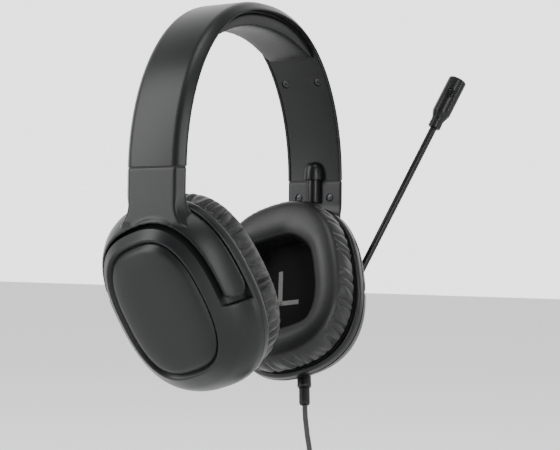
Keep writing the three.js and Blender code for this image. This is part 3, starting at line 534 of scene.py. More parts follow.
def cord_surface(centre):
    """centre + r (cos a n + sin a b), with n across the route and the coil's axis, and b across both."""
    tangent = np.gradient(centre, axis=0)
    tangent /= np.linalg.norm(tangent, axis=1)[:, None]
    n = np.cross(tangent, (1.0, 0, 0))
    n /= np.linalg.norm(n, axis=1)[:, None]
    b = np.cross(tangent, n)
    a = np.linspace(0, 2 * PI, CORD_SIDES, endpoint=False)[None, :, None]
    return centre[:, None] + CORD_RADIUS * (np.cos(a) * n[:, None] + np.sin(a) * b[:, None])


cord = surface("braided_cord", cord_surface(route), braid_finish, ends="fan")
along = np.concatenate([[0], np.cumsum(steps)]) / (2 * CORD_RADIUS)


def braid_map(piece):
    """u from a corner's column and v from its row; the last column's far corners get u = 1."""
    mesh = piece.data
    corner = np.empty(len(mesh.loops), int)
    mesh.loops.foreach_get("vertex_index", corner)
    inside = corner < len(route) * CORD_SIDES
    row = np.where(inside, corner // CORD_SIDES, 0)
    u = np.where(inside, corner % CORD_SIDES, 0) / CORD_SIDES
    sizes = np.array([len(p.vertices) for p in mesh.polygons])
    face = np.repeat(np.arange(len(sizes)), sizes)
    reach = np.zeros(len(sizes))
    np.maximum.at(reach, face, u)
    u = np.where((u == 0) & (reach[face] > 0.6), 1.0, u)
    layer = mesh.uv_layers.new(name="braid")
    layer.data.foreach_set("uv", np.stack([u, along[row]], 1).ravel())


braid_map(cord)
dress(cord, "cup_left", "braided_cord", "cable_lead", "cable_coil", "cable_tail")
print("the cord's sleeve has", len(cord.data.polygons), "faces")

# %% [markdown]
# The tie is a strap of hook-and-loop tape closed round the bundle, a rounded rectangle swept round its own
# short width. The plug is a moulded grip with a stepped neck, and the pin has four contacts parted by rings.
# %% Tie and plug
TIE_ANGLE = math.radians(135)


def cable_tie():
    """A rounded loop about the bundle's section, offset out by the strap's thickness and back."""
    radial, axial, half, strap = 8.35, 6.6, 3.4, 0.85
    corners = [(-axial, -radial), (axial, -radial), (axial, radial), (-axial, radial)]
    inner = soften(corners, 3.0, 6)
    outer = soften([(x * (1 + strap / axial), y * (1 + strap / radial)) for x, y in corners], 3.6, 6)
    rows = [np.column_stack([ring, np.full(len(ring), depth)]) for ring, depth in (
        (inner, -half), (outer, -half), (outer, half), (inner, half))]
    local = np.stack(rows)
    out = np.array([0, math.cos(TIE_ANGLE), math.sin(TIE_ANGLE)])
    onward = np.array([0, -math.sin(TIE_ANGLE), math.cos(TIE_ANGLE)])
    middle = COIL_CENTRE + out * sum(COIL_RADII) / 2
    grid = middle + local[..., :1] * (1, 0, 0) + local[..., 1:2] * out + local[..., 2:] * onward
    return surface("hook_and_loop_tie", grid, rubber_finish, wrap_rows=True)


tie = dress(cable_tie(), "cup_left", "soft_rubber", "cable_tie")
plug_top = route[-1] - (0, 0, PLUG_GAP)
DOWN = (0, 0, -1)
plug_grip = turned("plug_grip", [(0, 0), (2.2, 0), (2.3, 6.6), (2.9, 7.2), (3.5, 9), (3.6, 12), (3.35, 16),
                                 (3.6, 20), (3.6, 23.6), (3, 24), (0, 24)],
                   plug_top, DOWN, rubber_finish, 0.8)
dress(plug_grip, "cup_left", "soft_rubber", "plug_body")
PIN, RING, PIN_TOP = 1.75, 1.68, 25.1
pin_outline = [(0, PIN_TOP - 0.8), (2.6, PIN_TOP - 0.8), (2.6, PIN_TOP), (PIN, PIN_TOP)]
for drop in (3.3, 6.0, 8.7):
    ring = PIN_TOP + drop
    pin_outline += [(PIN, ring), (RING, ring + 0.1), (RING, ring + 0.5), (PIN, ring + 0.6)]
pin_outline += [(PIN, 35.2), (1.2, 35.8), (1.7, 36.5), (0.5, 38.2), (0, 38.3)]
plug_pin = turned("plug_contacts", pin_outline, plug_top, DOWN, gold_finish, 0.12)
dress(plug_pin, "cup_left", "gold_contacts", "plug_pin")
print("the plug's tip hangs at", (plug_top + np.array(DOWN) * pin_outline[-1][1]).round(1))

# %% [markdown]
# The headband is one arch seen from the front, a little squarer than a circle, and everything on it is a
# section carried along that arch. A superellipse gives the arch, equal steps of length give its stations, and
# a section is drawn in two numbers: y across the band, and depth in from its outer face.
# %% The arch
BAND_HALF_SPAN = 77.8
BAND_RISE = 89.0
SHOULDER = 2.31
CROWN = 1.97
SEAM_HALF_GAP = 0.25


def signed_power(value, exponent):
    return np.sign(value) * np.abs(value) ** exponent


def arch_table():
    """x = span |cos t|^(2/shoulder), z = seam + rise sin t^(2/crown), with its normals and running length."""
    t = np.linspace(0, PI, 4001)
    x = BAND_HALF_SPAN * signed_power(np.cos(t), 2 / SHOULDER)
    z = SEAM_Z + BAND_RISE * np.sin(t).clip(0) ** (2 / CROWN)
    length = np.concatenate([[0], np.cumsum(np.hypot(np.diff(x), np.diff(z)))])
    dx, dz = np.gradient(x), np.gradient(z)
    size = np.hypot(dx, dz)
    return t, x, z, dz / size, -dx / size, length


ARCH = arch_table()


def arch_stations(first, last, count):
    """Arch angles at equal steps of length between two angles in radians."""
    t, length = ARCH[0], ARCH[5]
    wanted = np.linspace(np.interp(first, t, length), np.interp(last, t, length), count)
    return np.interp(wanted, length, t)


def on_band(t, y, depth):
    """The arch's point at t, moved in along its normal by depth, at y across the band."""
    x, z, nx, nz = (np.interp(t, ARCH[0], column) for column in ARCH[1:5])
    return np.stack(np.broadcast_arrays(x - nx * depth, y, z - nz * depth), -1)


def angle_at(height):
    return math.asin((height / BAND_RISE) ** (CROWN / 2))


def sweep_band(section, t):
    """Every station carries the closed section of (y, depth) points."""
    return on_band(t[:, None], section[None, :, 0], section[None, :, 1])


print(f"the arch is {ARCH[5][-1]:.0f} mm long from seam to seam")

# %% [markdown]
# The outer shell is a channel: a flat back with bevelled shoulders and two thin side walls that turn in. The
# inner cover drops into the channel and hides the spring steel. A mould leaves no truly sharp edge, so each
# corner is softened by a fraction of a millimetre, and that is what catches the light along the band.
# %% Headband shell and inner cover
FLAT_HALF, BAND_HALF, WALL_HALF = 13.8, 17.7, 16.2
BEVEL, SKIRT = 3.9, 4.7
SHELL_HALF = [(FLAT_HALF, 0), (BAND_HALF, BEVEL), (BAND_HALF, SKIRT), (WALL_HALF, SKIRT), (WALL_HALF, 3.5),
              (13.2, 1.05)]
SHELL_SOFT = [2.2, 1.5, 0.3, 0.3, 0.5, 1.0]
BAND_TOP = angle_at(SEAM_HALF_GAP)


def channel():
    """The right half of the section and its mirror image, joined as one closed loop."""
    half = np.array(SHELL_HALF)
    corners = np.vstack([half, half[::-1] * (-1, 1)])
    return soften(corners, SHELL_SOFT + SHELL_SOFT[::-1], 5)


shell = surface("headband_shell_skin", sweep_band(channel(), arch_stations(BAND_TOP, PI - BAND_TOP, 150)),
                shell_finish)
dress(shell, "headband", "black_shell", "headband_shell")


SCREW_PLACES = [(side, y) for side in (-1, 1) for y in (-10.5, 10.5)]
SCREW_ANGLE = angle_at(56.5)
HEAD_RADIUS = 2.1
SEAT_RADIUS = 2.5
COVER_HALF, COVER_BACK, COVER_FACE = 15.9, 3.7, 4.6


def on_side(t, side):
    return t if side > 0 else PI - t


def band_normal(t):
    x, z = (float(np.interp(t, ARCH[0], ARCH[k])) for k in (3, 4))
    return np.array([x, 0, z])


cover_section = soften([(-COVER_HALF, COVER_BACK), (COVER_HALF, COVER_BACK), (COVER_HALF, COVER_FACE),
                        (-COVER_HALF, COVER_FACE)], [0.2, 0.2, 0.4, 0.4])
cover = surface("headband_cover_skin", sweep_band(cover_section, arch_stations(BAND_TOP, PI - BAND_TOP, 130)),
                inner_finish)
for side, y in SCREW_PLACES:
    t = on_side(SCREW_ANGLE, side)
    drill(cover, on_band(t, y, COVER_FACE), -band_normal(t), SEAT_RADIUS, -0.45, 2)
dress(cover, "headband", "black_inner", "headband_inner_cover")
print("the inner cover has", len(cover.data.polygons), "faces after its four screw seats")

# %% [markdown]
# A screw head is a low dome with a cross in it. On a polar grid the cross is one formula: a point is in the
# recess when its smaller coordinate is under the blade's half-width, and the slope between is smoothed.
# %% Screws


def ramp(value, low, high):
    part = np.clip((value - low) / (high - low), 0, 1)
    return part * part * (3 - 2 * part)


def screw(name, place, outward, spin):
    """Height over radius and angle: a dome, less 0.45 mm where either arm of the cross passes."""
    r = np.linspace(0.01, HEAD_RADIUS, 30)[:, None]
    a = np.linspace(0, 2 * PI, 96, endpoint=False)[None]
    x, y = np.abs(r * np.cos(a + spin)), np.abs(r * np.sin(a + spin))
    arm = (1 - ramp(np.minimum(x, y), 0.16, 0.26)) * (1 - ramp(np.maximum(x, y), 1.15, 1.3))
    height = -0.15 - 0.3 * (r / HEAD_RADIUS) ** 3 - 0.42 * arm
    height = np.vstack([height, np.full((1, 96), -1.6)])
    r = np.vstack([r, [[HEAD_RADIUS]]])
    u, v, w = axes_along(outward)
    grid = place + (r * np.cos(a))[..., None] * u + (r * np.sin(a))[..., None] * v + height[..., None] * w
    return surface(name, grid, screw_finish, ends="fan")


for side, y in SCREW_PLACES:
    t = on_side(SCREW_ANGLE, side)
    label = f"{'left' if side > 0 else 'right'}_{'front' if y < 0 else 'rear'}"
    head = screw(f"screw_head_{label}", on_band(t, y, COVER_FACE), -band_normal(t), 0.4 + y + side)
    dress(head, "headband", "black_screw", f"headband_screw_{label}")
print("screw heads of", 2 * HEAD_RADIUS, "mm in seats of", 2 * SEAT_RADIUS)

# %% [markdown]
# The crown pad is foam wrapped in leatherette. It is thickest over the crown and thins to its ends, and its
# section is a rounded bar whose lower face is fuller than its sides. The skin ripples slightly along the
# edges, where it is pulled round the board, so a small wave is added there.
# %% Crown pad
PAD_END = math.radians(52.5)
PAD_TOP = 4.8
PAD_HALF = 14.6
PAD_THIN, PAD_SWELL = 2.0, 6.6


def crown_pad():
    """Signed powers of cosine and sine, with a thickness set by the distance from the crown."""
    t = arch_stations(PAD_END, PI - PAD_END, 170)[:, None]
    a = np.linspace(0, 2 * PI, 72, endpoint=False)[None]
    reach = np.abs(t - PI / 2) / (PI / 2 - PAD_END)
    swell = np.maximum(1 - reach ** 2.1, 0.05) ** 0.72
    thick = PAD_THIN + PAD_SWELL * swell
    end = np.sqrt(np.clip(1 - reach ** 12, 0.02, 1))
    y = PAD_HALF * signed_power(np.cos(a), 0.42) * (0.9 + 0.1 * end)
    depth = PAD_TOP + thick / 2 + thick / 2 * signed_power(np.sin(a), 0.55) * end
    pulled = np.exp(-((np.abs(y) - PAD_HALF) / 2.4) ** 2) * np.sin(a).clip(0)
    ripple = 0.16 * np.sin(t * 92 + 2 * np.sin(t * 23)) * pulled
    return on_band(t, y, depth + ripple)


pad = surface("crown_pad_skin", crown_pad(), leather_finish, ends="fan")
dress(pad, "headband", "leatherette", "crown_pad")
print("crown pad:", len(pad.data.polygons), "faces")

# %% [markdown]
# Both ear cups are drawn in their own three numbers: u towards the back, v up the cup, and h outward from the
# head. The outline is a leaning superellipse. insets() moves it inward along its normals by any distance, and
# tilted() places the result, turned by the cups' toe-in.
# %% The cup's outline
CUP_CENTRE = (51.9, -1.3, -137.7)
CUP_HALF_WIDTH = 41.8
CUP_HALF_HEIGHT = 49.5
CUP_ROUNDNESS = 2.44
CUP_LEAN = math.radians(18.8)
CUP_TILT = math.radians(20.6)


def outline_table():
    """Superellipse points with outward normals from the gradient of its equation, both leaned forward."""
    a = np.linspace(0, 2 * PI, 8001)
    power = 2 / CUP_ROUNDNESS
    x = CUP_HALF_WIDTH * signed_power(np.cos(a), power)
    y = CUP_HALF_HEIGHT * signed_power(np.sin(a), power)
    nx = signed_power(x / CUP_HALF_WIDTH, CUP_ROUNDNESS - 1) / CUP_HALF_WIDTH
    ny = signed_power(y / CUP_HALF_HEIGHT, CUP_ROUNDNESS - 1) / CUP_HALF_HEIGHT
    size = np.hypot(nx, ny)
    c, s = math.cos(CUP_LEAN), math.sin(CUP_LEAN)
    lean = lambda p, q: (p * c + q * s, -p * s + q * c)
    (u, v), (nu, nv) = lean(x, y), lean(nx / size, ny / size)
    length = np.concatenate([[0], np.cumsum(np.hypot(np.diff(u), np.diff(v)))])
    return length, u, v, nu, nv


OUTLINE = outline_table()
ROUND = OUTLINE[0][-1]


def insets(station, inset):
    """The outline's point at a running length, moved inward along its normal: (u, v) arrays."""
    u, v, nu, nv = (np.interp(station % ROUND, OUTLINE[0], column) for column in OUTLINE[1:])
    return u - nu * inset, v - nv * inset


def tilted(h, u, v):
    """Cup numbers to the shared frame, on the left side, with the toe-in about the y axis."""
    c, s = math.cos(CUP_TILT), math.sin(CUP_TILT)
    x = CUP_CENTRE[0] + v * s + h * c
    z = CUP_CENTRE[2] + v * c - h * s
    return np.stack(np.broadcast_arrays(x, u + CUP_CENTRE[1], z), -1)


OUTWARD = np.array([math.cos(CUP_TILT), 0, -math.sin(CUP_TILT)])


def loft(profile, count=280):
    """Each (h, inset) of the profile is one ring round the cup."""
    station = np.linspace(0, ROUND, count, endpoint=False)[None]
    u, v = insets(station, profile[:, 1:2])
    return tilted(profile[:, :1], u, v)


print(f"round the cup: {ROUND:.0f} mm")

# %% [markdown]
# The yoke's fork lies flush in a slot of the cup. Seen along u, the slot's lower edge is level, and so is the
# fork's tip, so both are drawn with stations measured between the two places where a ring crosses a given v.
# crossing() finds those places for any inset, and a share from 0 to 1 runs over the top between them.
# %% Where the fork ends
SIDE_WALL = np.array([(0.3, 0.2), (4, 1.2), (8, 3.3), (11, 5.4), (13, 7.2), (15.2, 9.7)])


def side_inset(h):
    """A smooth curve through the side wall's stops."""
    fine = smooth_route(SIDE_WALL, 200)
    return np.interp(h, fine[:, 0], fine[:, 1])


def crossing(v_wanted, inset, rear):
    """Newton steps on the running length until the inset ring's v is the wanted one."""
    start = OUTLINE[0][np.argmax(OUTLINE[1])] if rear else OUTLINE[0][np.argmin(OUTLINE[1])]
    station = np.full(np.broadcast(v_wanted, inset).shape, start)
    for _ in range(12):
        v = insets(station, inset)[1]
        slope = (insets(station + 0.2, inset)[1] - insets(station - 0.2, inset)[1]) / 0.4
        station = station - np.clip((v - v_wanted) / slope, -6, 6)
    return station


def over_top(share, v_low, inset):
    """Share 0 is at the rear crossing, 1 at the front one, over the top of the cup."""
    rear, front = crossing(v_low, inset, True), crossing(v_low, inset, False)
    return rear + (front - rear) * share


def under(share, v_low, inset):
    """Share 0 is at the front crossing, 1 at the rear one, under the bottom of the cup."""
    rear, front = crossing(v_low, inset, True), crossing(v_low, inset, False)
    return front + (rear + ROUND - front) * share


print("the slot ends", round(float(crossing(1.7, 0.0, True)), 1), "mm along the outline")

# %% [markdown]
# A cup housing is a ring-shaped shell: a side wall that curves in, a bevelled crest, and a groove where the
# cap sits. Its grid has two stretches of columns, over the top and under the bottom, which meet in the level
# plane of the slot's lower edge. In the upper stretch the wall steps in at the slot. Each edge of the slot
# has one more column or row half a millimetre away, and that is its chamfer.
# %% Cup housings
SLOT_LOW = 1.7
SLOT_INBOARD = 1.5
SLOT_DEPTH = 3.9
FLOOR_MAX = 9.7
CHAMFER = 0.45
EDGE_STEP = 0.3


def housing_rows():
    """(h, full inset, slot inset) for each row, from the crest of the inner wall round to its foot."""
    h = np.concatenate([[0.3, 0.8, SLOT_INBOARD - 0.35, SLOT_INBOARD, SLOT_INBOARD + 0.02],
                        np.linspace(2.2, 14.9, 22)])
    full = side_inset(h)
    floor = np.minimum(full + SLOT_DEPTH, FLOOR_MAX)
    slot = np.where(h > SLOT_INBOARD + 0.01, floor, full)
    slot[h == SLOT_INBOARD] += EDGE_STEP
    crest = soften([(14.9, full[-1]), (15.25, 9.75), (18.6, 13.9), (18.45, 14.8), (17.1, 16.1),
                    (16.6, 17.0), (14.9, 17.0), (8, 12.6), (2, 11.6), (0.3, 11.6)],
                   [0, 0.6, 0.8, 0.8, 0.6, 0.3, 1, 2, 1, 0], 5, False)[1:]
    rows = np.column_stack([h, full, slot])
    return np.vstack([rows, np.column_stack([crest[:, 0], crest[:, 1], crest[:, 1]])])


def housing():
    """Stations between crossings of the slot's plane; the chamfer columns sit just inside each end."""
    rows = housing_rows()
    h, full, slot = (rows[:, k:k + 1] for k in range(3))
    near = 0.004
    shares = np.concatenate([[0, near], np.linspace(0, 1, 150)[1:-1], [1 - near, 1]])[None]
    at_end = (shares == 0) | (shares == 1)
    in_slot = slot - full > 0.5
    top_inset = slot - np.where(at_end & in_slot, CHAMFER, 0)
    low_inset = full + np.where(at_end & in_slot, CHAMFER, 0)
    top = insets(over_top(shares, SLOT_LOW, top_inset), top_inset)
    low = insets(under(shares, SLOT_LOW, low_inset), low_inset)
    return np.concatenate([tilted(h, *top), tilted(h, *low)], 1)


left_housing = surface("cup_housing_left_skin", housing(), shell_finish, wrap_rows=True)
right_housing = mirrored(left_housing, "cup_housing_right_skin")
dress(right_housing, "cup_right", "black_shell", "cup_housing_right")
print("a housing has", len(right_housing.data.polygons), "faces")

# %% [markdown]
# The cap is a shallow dome with a rounded rim, and the left one carries the boom's hub. The bezel is the
# flat ring that shows as a narrow step between the housing and the cushion, and its well holds the board.
# %% Caps and bezels
CAP_INSET = 15.4


def cap_grid():
    """Rings by inset out to the crown's edge, then the last ring shrinks to its middle as a dome."""
    rim = soften([(16.4, 17.2), (16.9, CAP_INSET + 0.75), (17.5, CAP_INSET + 0.9), (19.6, CAP_INSET + 3.2),
                  (20.5, CAP_INSET + 7.5), (20.85, CAP_INSET + 12)], [0, 0.2, 0.4, 2.2, 3, 0], 8, False)
    rings = loft(rim)
    middle = tilted(20.98, 0.0, 0.0)
    inward = np.linspace(0, 1, 14)[1:-1, None, None]
    flat = rings[-1] + (middle - rings[-1]) * inward
    rise = 0.2 * (1 - (1 - inward) ** 2) * (1 - inward)
    return np.concatenate([rings, flat + rise * OUTWARD])


cap = surface("cup_cap_left_skin", cap_grid(), shell_finish, ends="fan")
both_sides(cap, "cup_cap_{}_skin", "cup_{}", "black_shell", "cup_cap_{}")
bezel_line = soften([(-0.1, 0.35), (-3.9, 0.35), (-5.4, 1.3), (-5.4, 4.6), (-2.1, 4.6), (-2.1, 24),
                     (-0.1, 24)], [0.3, 1.1, 0.5, 0.3, 0.3, 0.3, 0.3], 5)
bezel = surface("bezel_left_skin", loft(bezel_line), gloss_finish, wrap_rows=True)
both_sides(bezel, "bezel_{}_skin", "cup_{}", "black_gloss", "baffle_{}")
print("a cap has", len(cap.data.polygons), "faces and a bezel", len(bezel.data.polygons))

# %% [markdown]
# The ear cushions are rings of foam in leatherette. The skin of the outer wall is gathered where it is sewn
# to the board, so it puckers all the way round: wide rounded pleats with sharp valleys, a little slanted and
# never quite even. The pleats fade towards the face, which is stretched smooth. Two slow waves in the phase
# make them irregular, and nothing here is random.
# %% Ear cushions
CUSHION_BASE = -6.4
CUSHION_FACE = -23.6
CUSHION_INSET = 1.8
MOUTH = 21.0
PLEAT, PLEAT_DEPTH = 5.6, 2.2
PLUMP = 0.175


def cushion_section():
    """A closed loop of (h, inset): the gathered wall, the crowned face, the soft mouth and the flat back."""
    face, base, near = CUSHION_FACE, CUSHION_BASE, CUSHION_INSET
    corners = [(base, near + 1.6), (base - 2.2, near), (face + 6.5, near + 0.1), (face + 1.2, near + 3.0),
               (face, near + 8.6), (face + 0.1, MOUTH - 6.0), (face + 2.8, MOUTH - 1.2), (base, MOUTH),
               (base, MOUTH - 9)]
    loop = soften(corners, [1.2, 2.4, 4.5, 3.2, 3, 3.2, 3.2, 0.6, 1], 9)
    return even(loop, 74)


def even(loop, count):
    """The closed loop again, at equal steps of length."""
    closed = np.vstack([loop, loop[:1]])
    run = np.concatenate([[0], np.cumsum(np.linalg.norm(np.diff(closed, axis=0), axis=1))])
    wanted = np.linspace(0, run[-1], count, endpoint=False)
    return np.column_stack([np.interp(wanted, run, closed[:, k]) for k in range(2)])


def cushion(phase):
    """The section round the outline, less |sin| valleys on the wall and shallow waves on the face. Over and
    under the ear the foam is wider, so the opening is squarer than the outline."""
    section = cushion_section()
    h, inset = section[:, :1], section[:, 1:]
    station = np.linspace(0, ROUND, 560, endpoint=False)[None]
    lap = station / ROUND * 2 * PI
    count = round(ROUND / PLEAT)
    wander = 0.8 * np.sin(3 * lap + phase) + 0.6 * np.sin(8 * lap + 2 * phase) + 0.4 * np.sin(19 * lap)
    slant = 0.5 * np.sin(2 * lap + 1.3 * phase) + 0.45 * np.sin(13 * lap) + 0.3 * np.sin(29 * lap + phase)
    climb = (h - CUSHION_BASE) / (CUSHION_FACE - CUSHION_BASE)
    pleats = np.abs(np.sin(lap * count / 2 + wander + slant * climb * 2.2))
    uneven = 0.7 + 0.2 * np.sin(11 * lap + phase) + 0.25 * np.sin(23 * lap)
    on_wall = np.exp(-((inset - CUSHION_INSET) / 2.6) ** 2)
    on_wall = on_wall * ramp(climb, -0.02, 0.2) * (1 - ramp(climb, 0.55, 1))
    valleys = (1 - pleats ** 0.75) * on_wall * uneven * PLEAT_DEPTH
    plump = PLUMP * np.sin(5 * lap + phase) * ramp(climb, 0.6, 1)
    up = insets(station, 0)[1] / CUP_HALF_HEIGHT
    thicker = (3.6 * ramp(up, 0.5, 1) + 2.4 * ramp(-up, 0.55, 1)) * ramp(inset, 7, 19)
    u, v = insets(station, inset + valleys + thicker)
    return tilted(h - plump, u, v)


for side, phase in (("left", 0.7), ("right", 2.9)):
    ring = surface(f"ear_cushion_{side}_skin", cushion(phase), leather_finish, wrap_rows=True)
    ring = on_its_side(ring, side)
    ring.data.attributes.remove(ring.data.attributes["sharp_edge"])
    dress(ring, f"cup_{side}", "leatherette", f"ear_cushion_{side}")
print("pleats round a cushion:", round(ROUND / PLEAT))

# %% [markdown]
# The speaker cloth is stretched over the driver's opening, and carries one printed letter so that the wearer
# knows which side is which. The cloth is a fan of shrinking rings with a slight crown. Each stroke of the
# letter is a thin bar along a short path.
# %% Speaker cloths and ear marks
CLOTH_INSET = 20.2
CLOTH_H = -7.0
CLOTH_CROWN, CLOTH_THICK = 0.45, 0.4


def cloth_grid():
    """Rings of the opening's outline shrunk by a share towards the middle, with a slight crown."""
    station = np.linspace(0, ROUND, 200, endpoint=False)[None]
    u, v = insets(station, CLOTH_INSET)
    share = np.linspace(1, 0.02, 30)[:, None]
    crown = CLOTH_CROWN * (1 - share ** 2)
    front = tilted(CLOTH_H - crown, u * share, v * share)
    back = tilted(CLOTH_H + CLOTH_THICK - crown, u * share, v * share)
    return np.concatenate([front[::-1], back])


LETTERS = {
    "left": [[(7.2, 9.3), (3.2, -10.3)], [(3.7, -9.2), (-8.0, -7.6)]],
    "right": [[(-6.5, 9.6), (-4.6, -9.8)],
              [(-6.4, 8.9), (0.5, 9.6), (3.6, 8.2), (4.3, 4.6), (2.6, 1.4), (-5.6, 0.2)],
              [(-1.4, 0.6), (6.2, -8.8)]],
}
STROKE_HALF = 1.3
INK_FRONT, INK_BACK = -0.62, -0.2


def stroke(name, path):
    """A flat bar along a path in the cloth's plane: across the path by its normal, and through by h."""
    p = np.array(path)
    along = np.gradient(p, axis=0)
    along /= np.linalg.norm(along, axis=1)[:, None]
    normal = np.column_stack([-along[:, 1], along[:, 0]])
    corners = np.array([(-1, INK_FRONT), (1, INK_FRONT), (1, INK_BACK), (-1, INK_BACK)])
    at = p[:, None] + normal[:, None] * corners[None, :, :1] * STROKE_HALF
    return surface(name, tilted(CLOTH_H + corners[None, :, 1], at[..., 0], at[..., 1]), print_finish)


def joined(pieces, name):
    """Several pieces made one mesh, which keeps the first one's finish."""
    with bpy.context.temp_override(active_object=pieces[0], selected_editable_objects=pieces,
                                   selected_objects=pieces):
        bpy.ops.object.join()
    pieces[0].name = name
    return pieces[0]


for side in ("left", "right"):
    cloth = surface(f"speaker_cloth_{side}_skin", cloth_grid(), cloth_finish, ends="fan")
    mark = joined([stroke(f"stroke_{k}", path) for k, path in enumerate(LETTERS[side])], f"ear_mark_{side}")
    cloth, mark = on_its_side(cloth, side), on_its_side(mark, side)
    dress(mark, f"cup_{side}", "speaker_fabric")
    dress(cloth, f"cup_{side}", "speaker_fabric", f"speaker_cloth_{side}")

# %% [markdown]
# A yoke cover is the moulding that carries on down from the band and forks over the cup. Its arch is a
# section in h and inset, swept between the fork's two tips, flush with the housing's wall. The neck is the
# band's section made solid, flared at its foot. A voxel remesh welds the two overlapping solids into one
# skin, and some rounds of smoothing then leave a soft fillet between them.
# %% Yoke covers
ARM = {"inboard": 2.3, "outboard": 12.8, "low": 4.6, "corner": 5.2, "chamfer": 1.8, "deep": 3, "floor": 7.9}
VOXEL = 0.5
SMOOTHING = 12


def arm_inner(outer):
    """The inset of the arm's inner face under a given outer inset."""
    return np.minimum(outer + ARM["deep"], ARM["floor"])


def fork_grid():
    """Section loop by (h, inset), each with its own lowest v, which rounds the tip's inboard corner."""
    h = np.linspace(ARM["inboard"], ARM["outboard"], 30)
    outer = side_inset(h)
    inner = arm_inner(outer)
    h = np.concatenate([h, h[::-1]])[None]
    inset = np.concatenate([outer, inner[::-1]])[None]
    from_edge = np.clip(ARM["corner"] - (h - ARM["inboard"]), 0, ARM["corner"])
    rounding = ARM["corner"] - np.sqrt(ARM["corner"] ** 2 - from_edge ** 2)
    cut = np.clip(h - ARM["outboard"] + ARM["chamfer"], 0, None)
    v_low = ARM["low"] + rounding + cut
    share = np.linspace(0, 1, 260)[:, None]
    return tilted(h, *insets(over_top(share, v_low, inset), inset))


NECK_DEPTH = 35.0


def neck_grid():
    """The band's solid section at falling heights. It flares where it nears the arch, its bevel deepens, and
    whatever would stand outboard of the fork is pressed back to the fork's own face."""
    drop = np.linspace(SEAM_HALF_GAP, NECK_DEPTH, 90)[:, None]
    flare = ramp(drop, 16, 39) ** 1.5
    front, rear = BAND_HALF + 14 * flare, BAND_HALF + 15 * flare
    flat = FLAT_HALF / BAND_HALF
    section = soften([(flat, 0.0), (1, BEVEL), (1, SKIRT), (-1, SKIRT), (-1, BEVEL), (-flat, 0.0)],
                     [0.08, 0.05, 0, 0, 0.05, 0.08], 4)
    across, depth = section[None, :, 0], section[None, :, 1]
    y = np.where(across > 0, rear, front) * across
    x = BAND_HALF_SPAN - depth * (1 + 1.6 * ramp(drop, 13, 32))
    points = np.stack(np.broadcast_arrays(x, y, SEAM_Z - drop), -1)
    height = (points - tilted(0.0, 0.0, 0.0)) @ OUTWARD
    face = ARM["outboard"] - 5.5 * ramp(drop, 25, NECK_DEPTH)
    return points - np.clip(height - face, 0, None)[..., None] * OUTWARD


def core_grid():
    """What the housing fills under the arch: the fork's inner inset, with room above and below."""
    h = np.linspace(-12, 17, 30)
    inset = arm_inner(side_inset(np.clip(h, SIDE_WALL[0, 0], SIDE_WALL[-1, 0])))
    return loft(np.column_stack([h, inset]), 200)


def welded(pieces, name, voxel, rounds):
    """One skin round several solids by voxel remesh, then smoothed without moving it as a whole."""
    body = joined(pieces, name)
    remesh = body.modifiers.new("weld", "REMESH")
    remesh.mode, remesh.voxel_size = "VOXEL", voxel * MM
    smooth = body.modifiers.new("fillet", "SMOOTH")
    smooth.factor, smooth.iterations = 0.5, rounds
    seen = body.evaluated_get(bpy.context.evaluated_depsgraph_get())
    mesh = bpy.data.meshes.new_from_object(seen)
    body.modifiers.clear()
    body.data = mesh
    mesh.shade_smooth()
    return body


neck = surface("neck", neck_grid(), shell_finish)
carve(neck, surface("core", core_grid()))
yoke = welded([neck, surface("fork", fork_grid(), shell_finish)], "yoke_cover_left_skin", VOXEL, SMOOTHING)
yoke.data.materials.clear()
yoke.data.materials.append(shell_finish)
NECK_FACE = BAND_HALF_SPAN - SKIRT
YOKE_SCREWS = {"front": -10.2, "rear": 10.2}
YOKE_SCREW_Z = SEAM_Z - 9.6
for y in YOKE_SCREWS.values():
    drill(yoke, (NECK_FACE, y, YOKE_SCREW_Z), (-1, 0, 0), SEAT_RADIUS, -0.5, 3)
both_sides(yoke, "yoke_cover_{}_skin", "yoke_{}", "black_shell", "yoke_cover_{}")
print("a yoke cover has", len(yoke.data.polygons), "faces")

# %% [markdown]
# Where the band meets the yoke there is a parting line, and a dark tongue behind it closes the channel. The
# tongue is the channel's outline moved in by 0.4 mm. It slides down with the yoke.
# %% Seam tongues


def tongue_grid():
    """The solid section, shrunk towards its middle, at four heights across the parting line."""
    half = np.array([(13.6, 0.4), (17.3, 4.1), (17.3, 4.3)])
    section = soften(np.vstack([half, half[::-1] * (-1, 1)]), 0.5, 3)
    z = np.array([SEAM_Z - 3, SEAM_Z - 1, SEAM_Z, SEAM_Z + 0.2])[:, None]
    return np.stack(np.broadcast_arrays(BAND_HALF_SPAN - section[None, :, 1], section[None, :, 0], z), -1)


tongue = surface("seam_tongue_left", tongue_grid(), rubber_finish)
both_sides(tongue, "seam_tongue_{}", "yoke_{}", "black_inner")
print("a seam tongue has", len(tongue.data.polygons), "faces")

# %% [markdown]
# Small turned parts. The hood guards the cable where it crosses the sliding joint, and the guide tube slides
# inside it. The hood stands on the inner cover, so whatever of it would lie behind the cover's face is
# pressed flat there. The tube sinks into the yoke's neck.
# %% Hoods, guide tubes and yoke screws
TUBE_X = 72.8
HOOD_BACK = 73.75
UP = (0, 0, 1)


def pressed(piece, limit):
    """Points past the limit in x are moved back to it."""
    mesh = piece.data
    points = np.empty(len(mesh.vertices) * 3)
    mesh.vertices.foreach_get("co", points)
    points = points.reshape(-1, 3)
    points[:, 0] = np.minimum(points[:, 0], limit * MM)
    mesh.vertices.foreach_set("co", points.ravel())
    mesh.update()
    return piece


